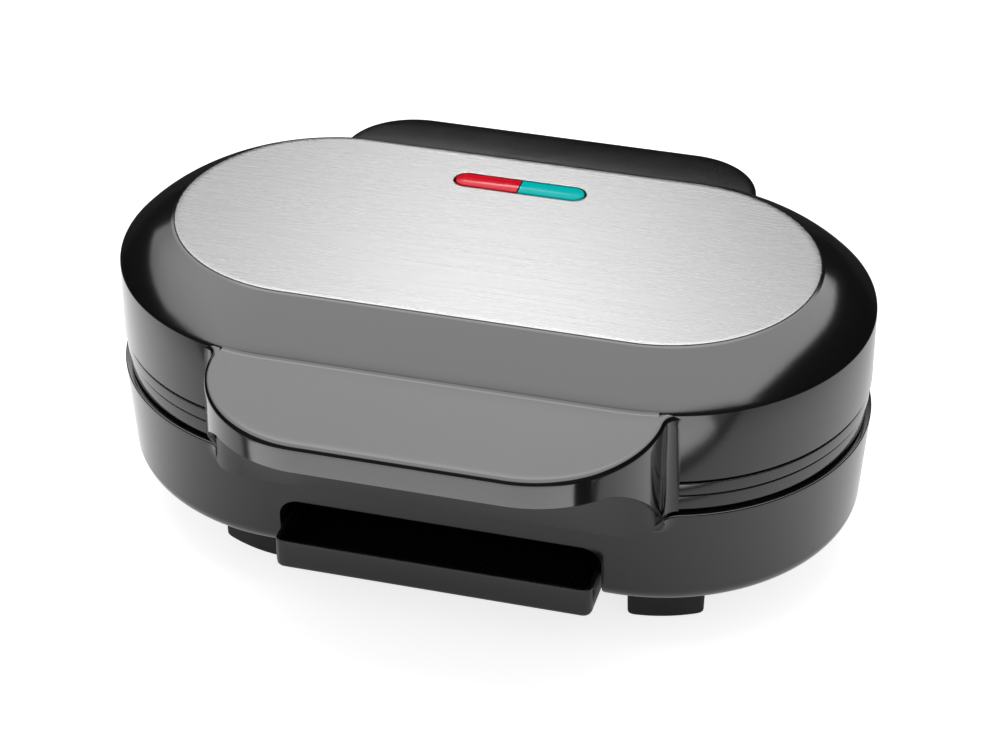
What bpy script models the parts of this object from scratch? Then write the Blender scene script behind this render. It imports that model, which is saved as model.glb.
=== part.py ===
"""Two-patty hamburger grill: a countertop cooker with a hinged lid and a drip tray that slides out.

Metres, +Z up. It stands on z = 0 with the middle of its outline at x = 0, y = 0, and its handle faces -Y.
Places are worked out from the middle of the stadium-shaped body, which an empty puts in its place.
"""
import math

import bmesh
import bpy
from mathutils import Matrix

for leftover in list(bpy.data.objects):
    bpy.data.objects.remove(leftover, do_unlink=True)

# Clearances and walls that all the pieces share
GAP = 0.0003
OVERRUN = 0.004
WALL = 0.0025
SHEET = 0.001
END_STEPS = 14
ROUND_STEPS = 12
CORNER_STEPS = 4
SCREW_STEPS = 8

# Body outline: two half circles joined by straight sides, widest at the rim of the base
HALF_STRAIGHT = 0.0677
BASE_RIM_R = 0.0829
BODY_STEP = 0.0006
SHOULDER_R = BASE_RIM_R - BODY_STEP
BEVEL_RUN = 0.0223
TOP_PLATE_R = SHOULDER_R - BEVEL_RUN

# Heights above the table
FOOT_HEIGHT = 0.0200
BASE_DEPTH = 0.0470
BASE_RIM_Z = FOOT_HEIGHT + BASE_DEPTH
PART_GAP = 0.0014
LID_RIM_Z = BASE_RIM_Z + PART_GAP
LID_WALL_HEIGHT = 0.0438
SHOULDER_Z = LID_RIM_Z + LID_WALL_HEIGHT
BEVEL_RISE = 0.0158
TOP_Z = SHOULDER_Z + BEVEL_RISE

# Cooking plates and their wells
RIM_WALL = 0.0049
COOK_R = BASE_RIM_R - RIM_WALL
COOK_SIDE_GAP = 0.0004
COOK_THICK = 0.0030
COOK_FACE_GAP = 0.0004
WELL_MARGIN = 0.0200
WELL_R = COOK_R - WELL_MARGIN
WELL_SPACING = 0.0060
WELL_X = WELL_R + WELL_SPACING
WELL_TAPER = 0.0050
LOWER_WELL_DEPTH = 0.0122
UPPER_WELL_DEPTH = 0.0080
WELL_WALL = 0.0025
WELL_STEPS = 24
BOSS_R = 0.0050
BOSS_INSET = 0.0141
BOSS_DEG = 46.0
GROOVE_WIDTH = 0.0080
GROOVE_DEPTH = 0.0016
LOWER_SLAB_Z = BASE_RIM_Z - COOK_THICK
LOWER_WELL_Z = BASE_RIM_Z - LOWER_WELL_DEPTH - COOK_THICK
UPPER_FACE_Z = BASE_RIM_Z + COOK_FACE_GAP
UPPER_SLAB_Z = UPPER_FACE_Z + COOK_THICK
UPPER_WELL_Z = UPPER_FACE_Z + UPPER_WELL_DEPTH + COOK_THICK

# Base housing
BASE_TAPER = 0.0026
BASE_BEND_R = BASE_RIM_R - BASE_TAPER
BASE_ROUND_RUN = 0.0163
BASE_FLOOR_R = BASE_BEND_R - BASE_ROUND_RUN
BASE_ROUND_RISE = 0.0107
BASE_BEND_Z = FOOT_HEIGHT + BASE_ROUND_RISE
RIM_EDGE = 0.0006
SEAT_LAND = 0.0025
PLATE_SEAT_R = COOK_R - SEAT_LAND
SEAT_WALL_R = COOK_R + COOK_SIDE_GAP
SEAT_THICK = 0.0020
COVER_EDGE = 0.0028
COVER_R = BASE_FLOOR_R - COVER_EDGE
COVER_THICK = 0.0022
COVER_TOP_Z = FOOT_HEIGHT + COVER_THICK
COVER_LIP = 0.0030
BEND_STEPS = 4
VENT_LENGTH = 0.0312
VENT_WIDTH = 0.0032
VENT_PITCH = 0.0075
VENT_NEAR = 0.0230
VENT_X = 0.0280
VENT_COUNT = 4

# Drip tray
TRAY_HALF_WIDTH = 0.0628
TRAY_OUT = 0.0098
TRAY_FRONT = BASE_RIM_R + TRAY_OUT
TRAY_BACK = 0.0023
TRAY_HEIGHT = 0.0130
TRAY_WALL = 0.0018
TRAY_CORNER_R = 0.0035
TRAY_FLOOR_Z = COVER_TOP_Z + GAP
TRAY_TOP_Z = TRAY_FLOOR_Z + TRAY_HEIGHT

# Opening in the base for the drip tray
SLOT_SIDE_GAP = 0.0012
SLOT_HALF_WIDTH = TRAY_HALF_WIDTH + SLOT_SIDE_GAP
SLOT_HEADROOM = 0.0115
SLOT_TOP_Z = TRAY_TOP_Z + SLOT_HEADROOM
SLOT_CORNER_R = 0.0080
SLOT_FLARE_R = 0.0070

# Lip of the base under the handle
CHIN_HALF_WIDTH = 0.0868
CHIN_OUT = 0.0131
CHIN_REACH = BASE_RIM_R + CHIN_OUT
CHIN_CORNER_R = 0.0160
CHIN_HEIGHT = 0.0130
CHIN_FACE = 0.0020
CHIN_FOOT_SINK = 0.0023
CHIN_FOOT_REACH = BASE_BEND_R - CHIN_FOOT_SINK

# Lid housing
LID_BAND = 0.0066
LID_BAND_STEP = 0.0007
BAND_1_R = SHOULDER_R - LID_BAND_STEP
BAND_2_R = BAND_1_R - LID_BAND_STEP
PLATE_RECESS = 0.0014
PLATE_LIP = 0.0009
LID_CEILING_Z = TOP_Z - PLATE_RECESS - WALL

# Handle, and the ledge behind the lid
HANDLE_HALF_WIDTH = 0.0874
HANDLE_OUT = 0.0499
HANDLE_REACH = SHOULDER_R + HANDLE_OUT
HANDLE_CORNER_R = 0.0485
HANDLE_FILLET_R = 0.0070
HANDLE_SINK = 0.0002
HANDLE_ROOT_Z = SHOULDER_Z - HANDLE_SINK
HANDLE_FALL = 0.0020
HANDLE_FRONT_Z = HANDLE_ROOT_Z - HANDLE_FALL
HANDLE_LIP = 0.0120
HANDLE_UNDER_Z = HANDLE_FRONT_Z - HANDLE_LIP
HANDLE_LIP_DEPTH = 0.0172
HANDLE_KNEE = HANDLE_REACH - HANDLE_LIP_DEPTH
HANDLE_ROOT_OUT = 0.0011
HANDLE_ROOT_REACH = SHOULDER_R + HANDLE_ROOT_OUT
HANDLE_COVER_INSET = 0.0008
HANDLE_COVER_THICK = 0.0022
LEDGE_HALF_WIDTH = 0.0872
LEDGE_OUT = 0.0295
LEDGE_REACH = SHOULDER_R + LEDGE_OUT
LEDGE_CORNER_R = 0.0302
LEDGE_SINK = 0.0004
LEDGE_TOP_Z = SHOULDER_Z - LEDGE_SINK
LEDGE_LIP = 0.0120

# Screws of the handle's lower cover
HANDLE_SCREW_SIDE = 0.0374
HANDLE_SCREW_X = HANDLE_HALF_WIDTH - HANDLE_SCREW_SIDE
HANDLE_SCREW_INSET = 0.0107
HANDLE_SCREW_Y = HANDLE_REACH - HANDLE_SCREW_INSET
HANDLE_SCREW_R = 0.0014
HANDLE_SCREW_HEAD_R = 0.0028
HANDLE_SCREW_HEAD = 0.0012
HANDLE_BOSS_R = 0.0038

# Hinge
HINGE_OUT = 0.0127
HINGE_Y = SHOULDER_R + HINGE_OUT
HINGE_Z = BASE_RIM_Z + PART_GAP / 2
HINGE_BOSS_R = 0.0085
HINGE_LUG_INSET = 0.0104
HINGE_LUG_MIDDLE = HALF_STRAIGHT - HINGE_LUG_INSET
HINGE_LUG_WIDTH = 0.0134
HINGE_EAR_WIDTH = 0.0080
HINGE_SIDE_GAP = 0.0006
HINGE_PIN_R = 0.0020
HINGE_PIN_HEAD_R = 0.0034
HINGE_PIN_HEAD = 0.0015
EAR_ROOT_DROP = 0.0077
EAR_ROOT_HIGH_Z = HINGE_Z - EAR_ROOT_DROP
EAR_ROOT_HEIGHT = 0.0160
EAR_ROOT_LOW_Z = EAR_ROOT_HIGH_Z - EAR_ROOT_HEIGHT
LUG_ROOT_DEPTH = 0.0200

# Heating elements, reflectors and what hangs on them
ELEMENT_R = 0.00325
ELEMENT_HALF_STRAIGHT_INSET = 0.0040
ELEMENT_HALF_STRAIGHT = WELL_X - ELEMENT_HALF_STRAIGHT_INSET
ELEMENT_INSET = 0.0220
ELEMENT_LOOP_R = WELL_R - ELEMENT_INSET
ELEMENT_END_X = 0.0100
ELEMENT_TAIL = 0.0260
ELEMENT_END_Y = ELEMENT_LOOP_R + ELEMENT_TAIL
ELEMENT_BEND_R = 0.0060
REFLECTOR_INSET = 0.0065
REFLECTOR_R = COOK_R - REFLECTOR_INSET
REFLECTOR_RIM = 0.0060
LOWER_ELEMENT_AIR = 0.0040
LOWER_REFLECTOR_Z = LOWER_WELL_Z - GAP - 2 * ELEMENT_R - LOWER_ELEMENT_AIR - SHEET
UPPER_ELEMENT_AIR = 0.0068
UPPER_REFLECTOR_Z = UPPER_WELL_Z + GAP + 2 * ELEMENT_R + UPPER_ELEMENT_AIR + SHEET
REFLECTOR_NOTCH_HALF_WIDTH = 0.0175
REFLECTOR_NOTCH_SETBACK = 0.0140
REFLECTOR_NOTCH_NEAR = ELEMENT_END_Y - REFLECTOR_NOTCH_SETBACK
LUG_R = 0.0060
LUG_THICK = 0.0050
LUG_RIB_WIDTH = 0.0060
SCREW_R = 0.0017
SCREW_HEAD_R = 0.0034
SCREW_HEAD = 0.0022
SCREW_DEPTH = 0.0100
THERMOSTAT_R = 0.0080
THERMOSTAT_Y = 0.0385
THERMOSTAT_THICK = 0.0060
BLADE_LENGTH = 0.0050
BLADE_WIDTH = 0.0030
BLADE_THICK = 0.0008
BLADE_X = 0.0045
FUSE_R = 0.0022
FUSE_LENGTH = 0.0150
FUSE_Y = 0.0380

# Spout of the lower plate, and the housing that the tray slides in
SPOUT_HALF_WIDTH = 0.0090
SPOUT_INSET = 0.0040
SPOUT_FAR = COOK_R - SPOUT_INSET
SPOUT_LENGTH = 0.0095
SPOUT_NEAR = SPOUT_FAR - SPOUT_LENGTH
SPOUT_WALL = 0.0018
SPOUT_CLEARANCE = 0.0040
SPOUT_END_Z = TRAY_TOP_Z + SPOUT_CLEARANCE
HOUSING_SIDE_GAP = 0.0018
HOUSING_WALL = 0.0014
HOUSING_HALF_WIDTH = TRAY_HALF_WIDTH + HOUSING_SIDE_GAP + HOUSING_WALL
HOUSING_BACK_GAP = 0.0067
HOUSING_BACK = TRAY_BACK + HOUSING_BACK_GAP
HOUSING_CLEARANCE = 0.0008
HOUSING_TOP_Z = LOWER_REFLECTOR_Z - HOUSING_CLEARANCE
HOUSING_MOUTH_RISE = 0.0028
HOUSING_MOUTH_Z = SLOT_TOP_Z + HOUSING_MOUTH_RISE
HOUSING_BEND_SETBACK = 0.0065
HOUSING_BEND_Y = SPOUT_NEAR - HOUSING_BEND_SETBACK
HOUSING_FRONT_INSET = 0.0041
HOUSING_FRONT = BASE_BEND_R - HOUSING_FRONT_INSET
REFLECTOR_FRONT_GAP = 0.0005
REFLECTOR_FRONT = HOUSING_BEND_Y - REFLECTOR_FRONT_GAP

# Feet and the posts that their screws bite in
FOOT_INSET = 0.0052
FOOT_OUTER_R = BASE_FLOOR_R - FOOT_INSET
FOOT_DEPTH = 0.0188
FOOT_INNER_R = FOOT_OUTER_R - FOOT_DEPTH
FOOT_START_DEG = 2.2
FOOT_END_DEG = 29.9
FOOT_STEPS = 8
FOOT_DRAFT = 0.0008
FOOT_EDGE = 0.0020
FOOT_SCREW_DEG = 16.0
FOOT_SCREW_INSET = 0.0100
FOOT_SCREW_RADIUS = FOOT_INNER_R + FOOT_SCREW_INSET
FOOT_RECESS_R = 0.0042
FOOT_RECESS = 0.0120
POST_R = 0.0045
POST_HEIGHT = 0.0108
POST_TOP_Z = COVER_TOP_Z + POST_HEIGHT
POST_RIB_REACH = 0.0060
POST_RIB_LOW_R = BASE_FLOOR_R + POST_RIB_REACH

# Mains connection
BUSH_RISE = 0.0200
BUSH_Z = FOOT_HEIGHT + BUSH_RISE
BUSH_R = 0.0052
BUSH_BORE_R = 0.0034
BUSH_FLANGE_R = 0.0080
BUSH_FLANGE = 0.0022
BLOCK_HALF_WIDTH = 0.0150
BLOCK_INSET = 0.0100
BLOCK_FAR = BASE_FLOOR_R - BLOCK_INSET
BLOCK_DEPTH = 0.0140
BLOCK_NEAR = BLOCK_FAR - BLOCK_DEPTH
BLOCK_HEIGHT = 0.0105
LEAD_R = 0.0012
LEAD_PITCH = 0.0050
CORD_CORE_PITCH = 0.00288
LEAD_SAG = 0.0030
LEAD_STEPS = 7

# Indicator lamps
LENS_INSET = 0.0209
LENS_Y = TOP_PLATE_R - LENS_INSET
LENS_HALF_LENGTH = 0.0267
LENS_HALF_WIDTH = 0.0050
LENS_RISE = 0.0002
LENS_FLANGE = 0.0015
LENS_FLANGE_THICK = 0.0018
LAMP_BOX_END = 0.0043
LAMP_BOX_HALF_LENGTH = LENS_HALF_LENGTH + LAMP_BOX_END
LAMP_BOX_SIDE = 0.0030
LAMP_BOX_HALF_WIDTH = LENS_HALF_WIDTH + LAMP_BOX_SIDE
LAMP_BOX_HEIGHT = 0.0110
LAMP_BOX_WALL = 0.0014
LAMP_BOX_TAB = 0.0060
LAMP_R = 0.0026
LAMP_LENGTH = 0.0080
LAMP_TIP_SHARES = ((1.0, 1.0), (0.7, 0.3), (0.2, 0.0))
LAMP_X = 0.0130

# Places that follow from those sizes
MIDDLE_Y = (HANDLE_REACH - LEDGE_REACH) / 2
CHIN_WIDE = CHIN_HALF_WIDTH + 2 * HANDLE_FILLET_R
BOSS_ALONG = (COOK_R - BOSS_INSET) * math.cos(math.radians(BOSS_DEG))
BOSS_ACROSS = (COOK_R - BOSS_INSET) * math.sin(math.radians(BOSS_DEG))
BOSS_PLACES = [(side * (HALF_STRAIGHT + BOSS_ALONG), face * BOSS_ACROSS)
               for side in (-1, 1) for face in (-1, 1)]


def corner_of(x, y):
    """Name of the corner of the body that a place lies in."""
    return "%s_%s" % ("front" if y < 0 else "rear", "left" if x < 0 else "right")


def foot_screw_places():
    """The four places under the ends of the body where a screw goes up through a foot."""
    turn = math.radians(FOOT_SCREW_DEG)
    x = HALF_STRAIGHT + FOOT_SCREW_RADIUS * math.sin(turn)
    y = FOOT_SCREW_RADIUS * math.cos(turn)
    return [(side * x, face * y) for side in (-1, 1) for face in (-1, 1)]


def material(name, colour, roughness, metallic=0.0):
    """A plain Principled finish."""
    made = bpy.data.materials.new(name)
    made.use_nodes = True
    shader = made.node_tree.nodes["Principled BSDF"]
    shader.inputs["Base Color"].default_value = (*colour, 1.0)
    shader.inputs["Roughness"].default_value = roughness
    shader.inputs["Metallic"].default_value = metallic
    made.diffuse_color = (*colour, 1.0)
    return made


GLOSS_BLACK = material("gloss black plastic", (0.012, 0.012, 0.013), 0.16)
MATT_BLACK = material("matt black plastic", (0.016, 0.016, 0.017), 0.5)
SOFT_BLACK = material("black rubber", (0.020, 0.020, 0.020), 0.75)
STEEL = material("brushed stainless steel", (0.62, 0.61, 0.60), 0.32, 1.0)
BRIGHT_STEEL = material("plated steel", (0.56, 0.55, 0.53), 0.3, 1.0)
COATED = material("non-stick coating", (0.030, 0.030, 0.031), 0.42)
SHEET_METAL = material("aluminised sheet", (0.60, 0.61, 0.62), 0.4, 1.0)
ELEMENT_METAL = material("heater sheath", (0.22, 0.23, 0.22), 0.5, 1.0)
CERAMIC = material("white ceramic", (0.80, 0.78, 0.72), 0.6)
RED_LENS = material("red lens", (0.68, 0.016, 0.038), 0.12)
GREEN_LENS = material("green lens", (0.006, 0.51, 0.51), 0.12)
LAMP_GLASS = material("lamp glass", (0.75, 0.62, 0.55), 0.1)
LAMP_WHITE = material("white lamp box", (0.72, 0.72, 0.70), 0.5)
LEAD_SLEEVE = material("glass-fibre sleeve", (0.55, 0.54, 0.50), 0.8)

# The middle of the body carries everything; the lid turns on the hinge and the tray slides in the base
body_middle = bpy.data.objects.new("body_middle", None)
body_middle.location = (0, MIDDLE_Y, 0)
lid_axis = bpy.data.objects.new("lid_axis", None)
lid_axis.location = (0, HINGE_Y, HINGE_Z)
tray_track = bpy.data.objects.new("tray_track", None)
tray_track.location = (0, -TRAY_FRONT, TRAY_FLOOR_Z)
for guide in (body_middle, lid_axis, tray_track):
    bpy.context.collection.objects.link(guide)
lid_axis.parent = body_middle
tray_track.parent = body_middle


def place(piece, carrier=body_middle):
    """Hangs a piece, whose mesh is drawn about the body's middle, on the empty that carries it."""
    piece.parent = carrier
    if carrier is not body_middle:
        piece.matrix_parent_inverse = Matrix.Translation(-carrier.location)


def finish(name, bm, finish_material=None, carrier=body_middle, smooth_deg=32):
    """Turns a bmesh into an object. Without a material it is a hidden cutter or guide."""
    bmesh.ops.recalc_face_normals(bm, faces=bm.faces)
    mesh = bpy.data.meshes.new(name)
    bm.to_mesh(mesh)
    bm.free()
    piece = bpy.data.objects.new(name, mesh)
    bpy.context.collection.objects.link(piece)
    if finish_material is None:
        piece.hide_render = True
        piece.display_type = "WIRE"
    else:
        mesh.materials.append(finish_material)
        mesh.shade_smooth()
        mesh.set_sharp_from_angle(angle=math.radians(smooth_deg))
    place(piece, carrier)
    return piece


def alter(piece, other, operation):
    """Adds a Boolean of another object, which is always a hidden one."""
    change = piece.modifiers.new(operation.lower(), "BOOLEAN")
    change.operation = operation
    change.solver = "EXACT"
    change.object = other


def cut(piece, *cutters):
    for cutter in cutters:
        alter(piece, cutter, "DIFFERENCE")


def join(piece, *others):
    for other in others:
        alter(piece, other, "UNION")


def arc(centre, radius, start_deg, end_deg, steps):
    """Points along a circular arc in a plane, both ends included."""
    turns = [math.radians(start_deg + (end_deg - start_deg) * i / steps) for i in range(steps + 1)]
    return [(centre[0] + radius * math.cos(t), centre[1] + radius * math.sin(t)) for t in turns]


def stadium(radius, half_straight=HALF_STRAIGHT, steps=END_STEPS):
    """Outline of two half circles joined by straight sides, anticlockwise from above."""
    right = arc((half_straight, 0), radius, -90, 90, steps)
    left = arc((-half_straight, 0), radius, 90, 270, steps)
    return right + left


def ledge_plan(half_width, reach, corner, fillet, root_radius, facing=-1):
    """Outline of a ledge on a long side of the body, rounded at its corners and filleted into the wall.

    The fillet's circle touches both the corner's circle and the body's. The back runs inside the wall.
    """
    ax, ay = half_width - corner, reach - corner
    near, far = corner + fillet, SHOULDER_R + fillet
    across, along = HALF_STRAIGHT - ax, -ay
    apart = math.hypot(across, along)
    reach_in = (near ** 2 - far ** 2 + apart ** 2) / (2 * apart)
    aside = math.sqrt(max(near ** 2 - reach_in ** 2, 0))
    ux, uy = across / apart, along / apart
    fx, fy = ax + ux * reach_in - uy * aside, ay + uy * reach_in + ux * aside
    touch = math.degrees(math.atan2(fy - ay, fx - ax))
    root = math.degrees(math.atan2(-fy, HALF_STRAIGHT - fx))
    foot = math.degrees(math.atan2(fy, fx - HALF_STRAIGHT))
    half = arc((ax, ay), corner, 90, touch, END_STEPS // 2)
    half += arc((fx, fy), fillet, touch + 180, root + 360 if root < 0 else root, CORNER_STEPS)[1:]
    half += arc((HALF_STRAIGHT, 0), root_radius, foot, 90, CORNER_STEPS)
    whole = half + [(-x, y) for x, y in reversed(half)]
    return [(x, facing * y) for x, y in whole]


def clipped_plan(plan, back, half_width):
    """The part of a ledge's plan that lies beyond a line along X, held within a half width."""
    facing = 1 if plan[0][1] > 0 else -1
    beyond = [(max(-half_width, min(half_width, x)), y) for x, y in plan if facing * y > back + GAP]
    right = [point for point in beyond if point[0] > 0]
    left = [point for point in beyond if point[0] < 0]
    return right + [(right[-1][0], facing * back), (left[0][0], facing * back)] + left


def chin_plan(inset):
    """Outline of the lip under the handle, drawn in by inset."""
    return ledge_plan(CHIN_HALF_WIDTH - inset, CHIN_REACH - inset, CHIN_CORNER_R - inset,
                      HANDLE_FILLET_R + inset, BASE_RIM_R - WALL - WALL / 2)


def rounded_box_plan(x0, x1, y0, y1, corner):
    """Outline of a rectangle with rounded corners."""
    plan = arc((x1 - corner, y0 + corner), corner, -90, 0, CORNER_STEPS)
    plan += arc((x1 - corner, y1 - corner), corner, 0, 90, CORNER_STEPS)
    plan += arc((x0 + corner, y1 - corner), corner, 90, 180, CORNER_STEPS)
    plan += arc((x0 + corner, y0 + corner), corner, 180, 270, CORNER_STEPS)
    return plan


def at_height(plan, z):
    return [(x, y, z) for x, y in plan]


def loft(name, rings, *settings, closed=False, **named):
    """A solid through rings of as many points each: capped at its ends, or closed on itself as a shell."""
    bm = bmesh.new()
    rows = [[bm.verts.new(point) for point in ring] for ring in rings]
    pairs = list(zip(rows, rows[1:]))
    if closed:
        pairs.append((rows[-1], rows[0]))
    for low, high in pairs:
        for i in range(len(low)):
            j = (i + 1) % len(low)
            bm.faces.new((low[i], low[j], high[j], high[i]))
    if not closed:
        bm.faces.new(reversed(rows[0]))
        bm.faces.new(rows[-1])
    return finish(name, bm, *settings, **named)


def prism(name, plan, z0, z1, *settings, **named):
    """A plan outline raised from one height to another."""
    return loft(name, [at_height(plan, z0), at_height(plan, z1)], *settings, **named)


def box(name, x0, x1, y0, y1, z0, z1, *settings, **named):
    return prism(name, [(x0, y0), (x1, y0), (x1, y1), (x0, y1)], z0, z1, *settings, **named)


def bar(name, profile, x0, x1, *settings, **named):
    """A profile in the Y-Z plane drawn out along X."""
    return loft(name, [[(x, y, z) for y, z in profile] for x in (x0, x1)], *settings, **named)


def beam(name, profile, y0, y1, *settings, **named):
    """A profile in the X-Z plane drawn out along Y."""
    return loft(name, [[(x, y, z) for x, z in profile] for y in (y0, y1)], *settings, **named)


def turned(name, spots, profile, *settings, steps=ROUND_STEPS, **named):
    """Round bodies about vertical axes at the given spots, from one profile of radius and height."""
    bm = bmesh.new()
    for x, y in spots:
        rows = [[bm.verts.new((px, py, z)) for px, py in arc((x, y), r, 0, 360, steps)[:-1]]
                for r, z in profile]
        for low, high in zip(rows, rows[1:]):
            for i in range(steps):
                j = (i + 1) % steps
                bm.faces.new((low[i], low[j], high[j], high[i]))
        bm.faces.new(reversed(rows[0]))
        bm.faces.new(rows[-1])
    return finish(name, bm, *settings, **named)


def rods(name, spots, radius, z0, z1, *settings, **named):
    return turned(name, spots, [(radius, z0), (radius, z1)], *settings, **named)


def hull(name, points, *settings, **named):
    """The smallest convex solid round the points."""
    bm = bmesh.new()
    for point in points:
        bm.verts.new(point)
    found = bmesh.ops.convex_hull(bm, input=bm.verts)
    spare = [v for v in found["geom_interior"] if isinstance(v, bmesh.types.BMVert)]
    bmesh.ops.delete(bm, geom=spare, context="VERTS")
    return finish(name, bm, *settings, **named)


def tube(name, route, radius, finish_material, carrier=body_middle):
    """A round tube along a route of points, with filled ends."""
    curve = bpy.data.curves.new(name, "CURVE")
    curve.dimensions = "3D"
    curve.bevel_depth = radius
    curve.bevel_resolution = 2
    curve.use_fill_caps = True
    spline = curve.splines.new("POLY")
    spline.points.add(len(route) - 1)
    for point, at in zip(spline.points, route):
        point.co = (*at, 1.0)
    curve.materials.append(finish_material)
    piece = bpy.data.objects.new(name, curve)
    bpy.context.collection.objects.link(piece)
    place(piece, carrier)
    return piece


def eased(start, start_way, end, end_way, steps=LEAD_STEPS):
    """A smooth route from start to end that leaves and arrives along the two given ways."""
    route = []
    for i in range(steps + 1):
        t = i / steps
        weights = (2 * t ** 3 - 3 * t ** 2 + 1, t ** 3 - 2 * t ** 2 + t,
                   3 * t ** 2 - 2 * t ** 3, t ** 3 - t ** 2)
        route.append(tuple(sum(w * v for w, v in zip(weights, column))
                           for column in zip(start, start_way, end, end_way)))
    return route


def base_inside_profile(inset=0.0):
    """Inner face of the base housing from its bottom lip to under the plate's seat, moved in by inset."""
    fall = BASE_BEND_Z - FOOT_HEIGHT
    width = BASE_BEND_R - BASE_FLOOR_R
    profile = []
    for i in range(BEND_STEPS + 1):
        turn = math.radians(90 * i / BEND_STEPS)
        radius = BASE_FLOOR_R + width * math.sin(turn)
        height = BASE_BEND_Z - fall * math.cos(turn)
        profile.append((radius - WALL - inset, max(height, COVER_TOP_Z + GAP + SEAT_THICK) + inset))
    seat_under = LOWER_SLAB_Z - GAP - SEAT_THICK
    profile.append((PLATE_SEAT_R + WALL + WALL / 2 - inset, seat_under - WALL - inset))
    return profile


def base_outside_profile():
    """Outer face of the base housing from the floor edge up to the rim."""
    fall = BASE_BEND_Z - FOOT_HEIGHT
    width = BASE_BEND_R - BASE_FLOOR_R
    profile = []
    for i in range(BEND_STEPS + 1):
        turn = math.radians(90 * i / BEND_STEPS)
        profile.append((BASE_FLOOR_R + width * math.sin(turn), BASE_BEND_Z - fall * math.cos(turn)))
    profile.append((BASE_RIM_R, BASE_RIM_Z - RIM_EDGE))
    profile.append((BASE_RIM_R - RIM_EDGE, BASE_RIM_Z))
    return profile


def end_lug(name, x, y, radius, z0, z1, low_wall_r, high_wall_r, carrier=body_middle):
    """A round lug inside an end of the body, with a rib that ties it to the wall. Returns both as guides."""
    side = 1 if x > 0 else -1
    across, along = x - side * HALF_STRAIGHT, y
    reach = math.hypot(across, along)
    ux, uy = across / reach, along / reach
    vx, vy = -uy * LUG_RIB_WIDTH / 2, ux * LUG_RIB_WIDTH / 2
    rings = []
    for z, wall_r in ((z0, low_wall_r), (z1, high_wall_r)):
        tip = (side * HALF_STRAIGHT + ux * wall_r, uy * wall_r)
        rings.append(at_height([(x + vx, y + vy), (x - vx, y - vy), (tip[0] - vx, tip[1] - vy),
                                (tip[0] + vx, tip[1] + vy)], z))
    lug = rods(name + "_lug", [(x, y)], radius, z0, z1, carrier=carrier)
    return lug, loft(name + "_rib", rings, carrier=carrier)


def hinge_ear(name, side, middle, width, root):
    """One knuckle of the hinge: a round boss on the axis drawn out to two root points."""
    circle = arc((HINGE_Y, HINGE_Z), HINGE_BOSS_R, 0, 360, ROUND_STEPS)[:-1]
    points = [(side * (middle + shift), y, z) for shift in (-width / 2, width / 2) for y, z in circle + root]
    return hull(name, points)


def pin_hole(name, side):
    """Hole for a hinge pin through both ears and the lug."""
    reach = HINGE_LUG_WIDTH / 2 + HINGE_SIDE_GAP + HINGE_EAR_WIDTH + OVERRUN
    circle = arc((HINGE_Y, HINGE_Z), HINGE_PIN_R + GAP, 0, 360, ROUND_STEPS)[:-1]
    return bar(name, circle, side * HINGE_LUG_MIDDLE - reach, side * HINGE_LUG_MIDDLE + reach)


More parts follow.
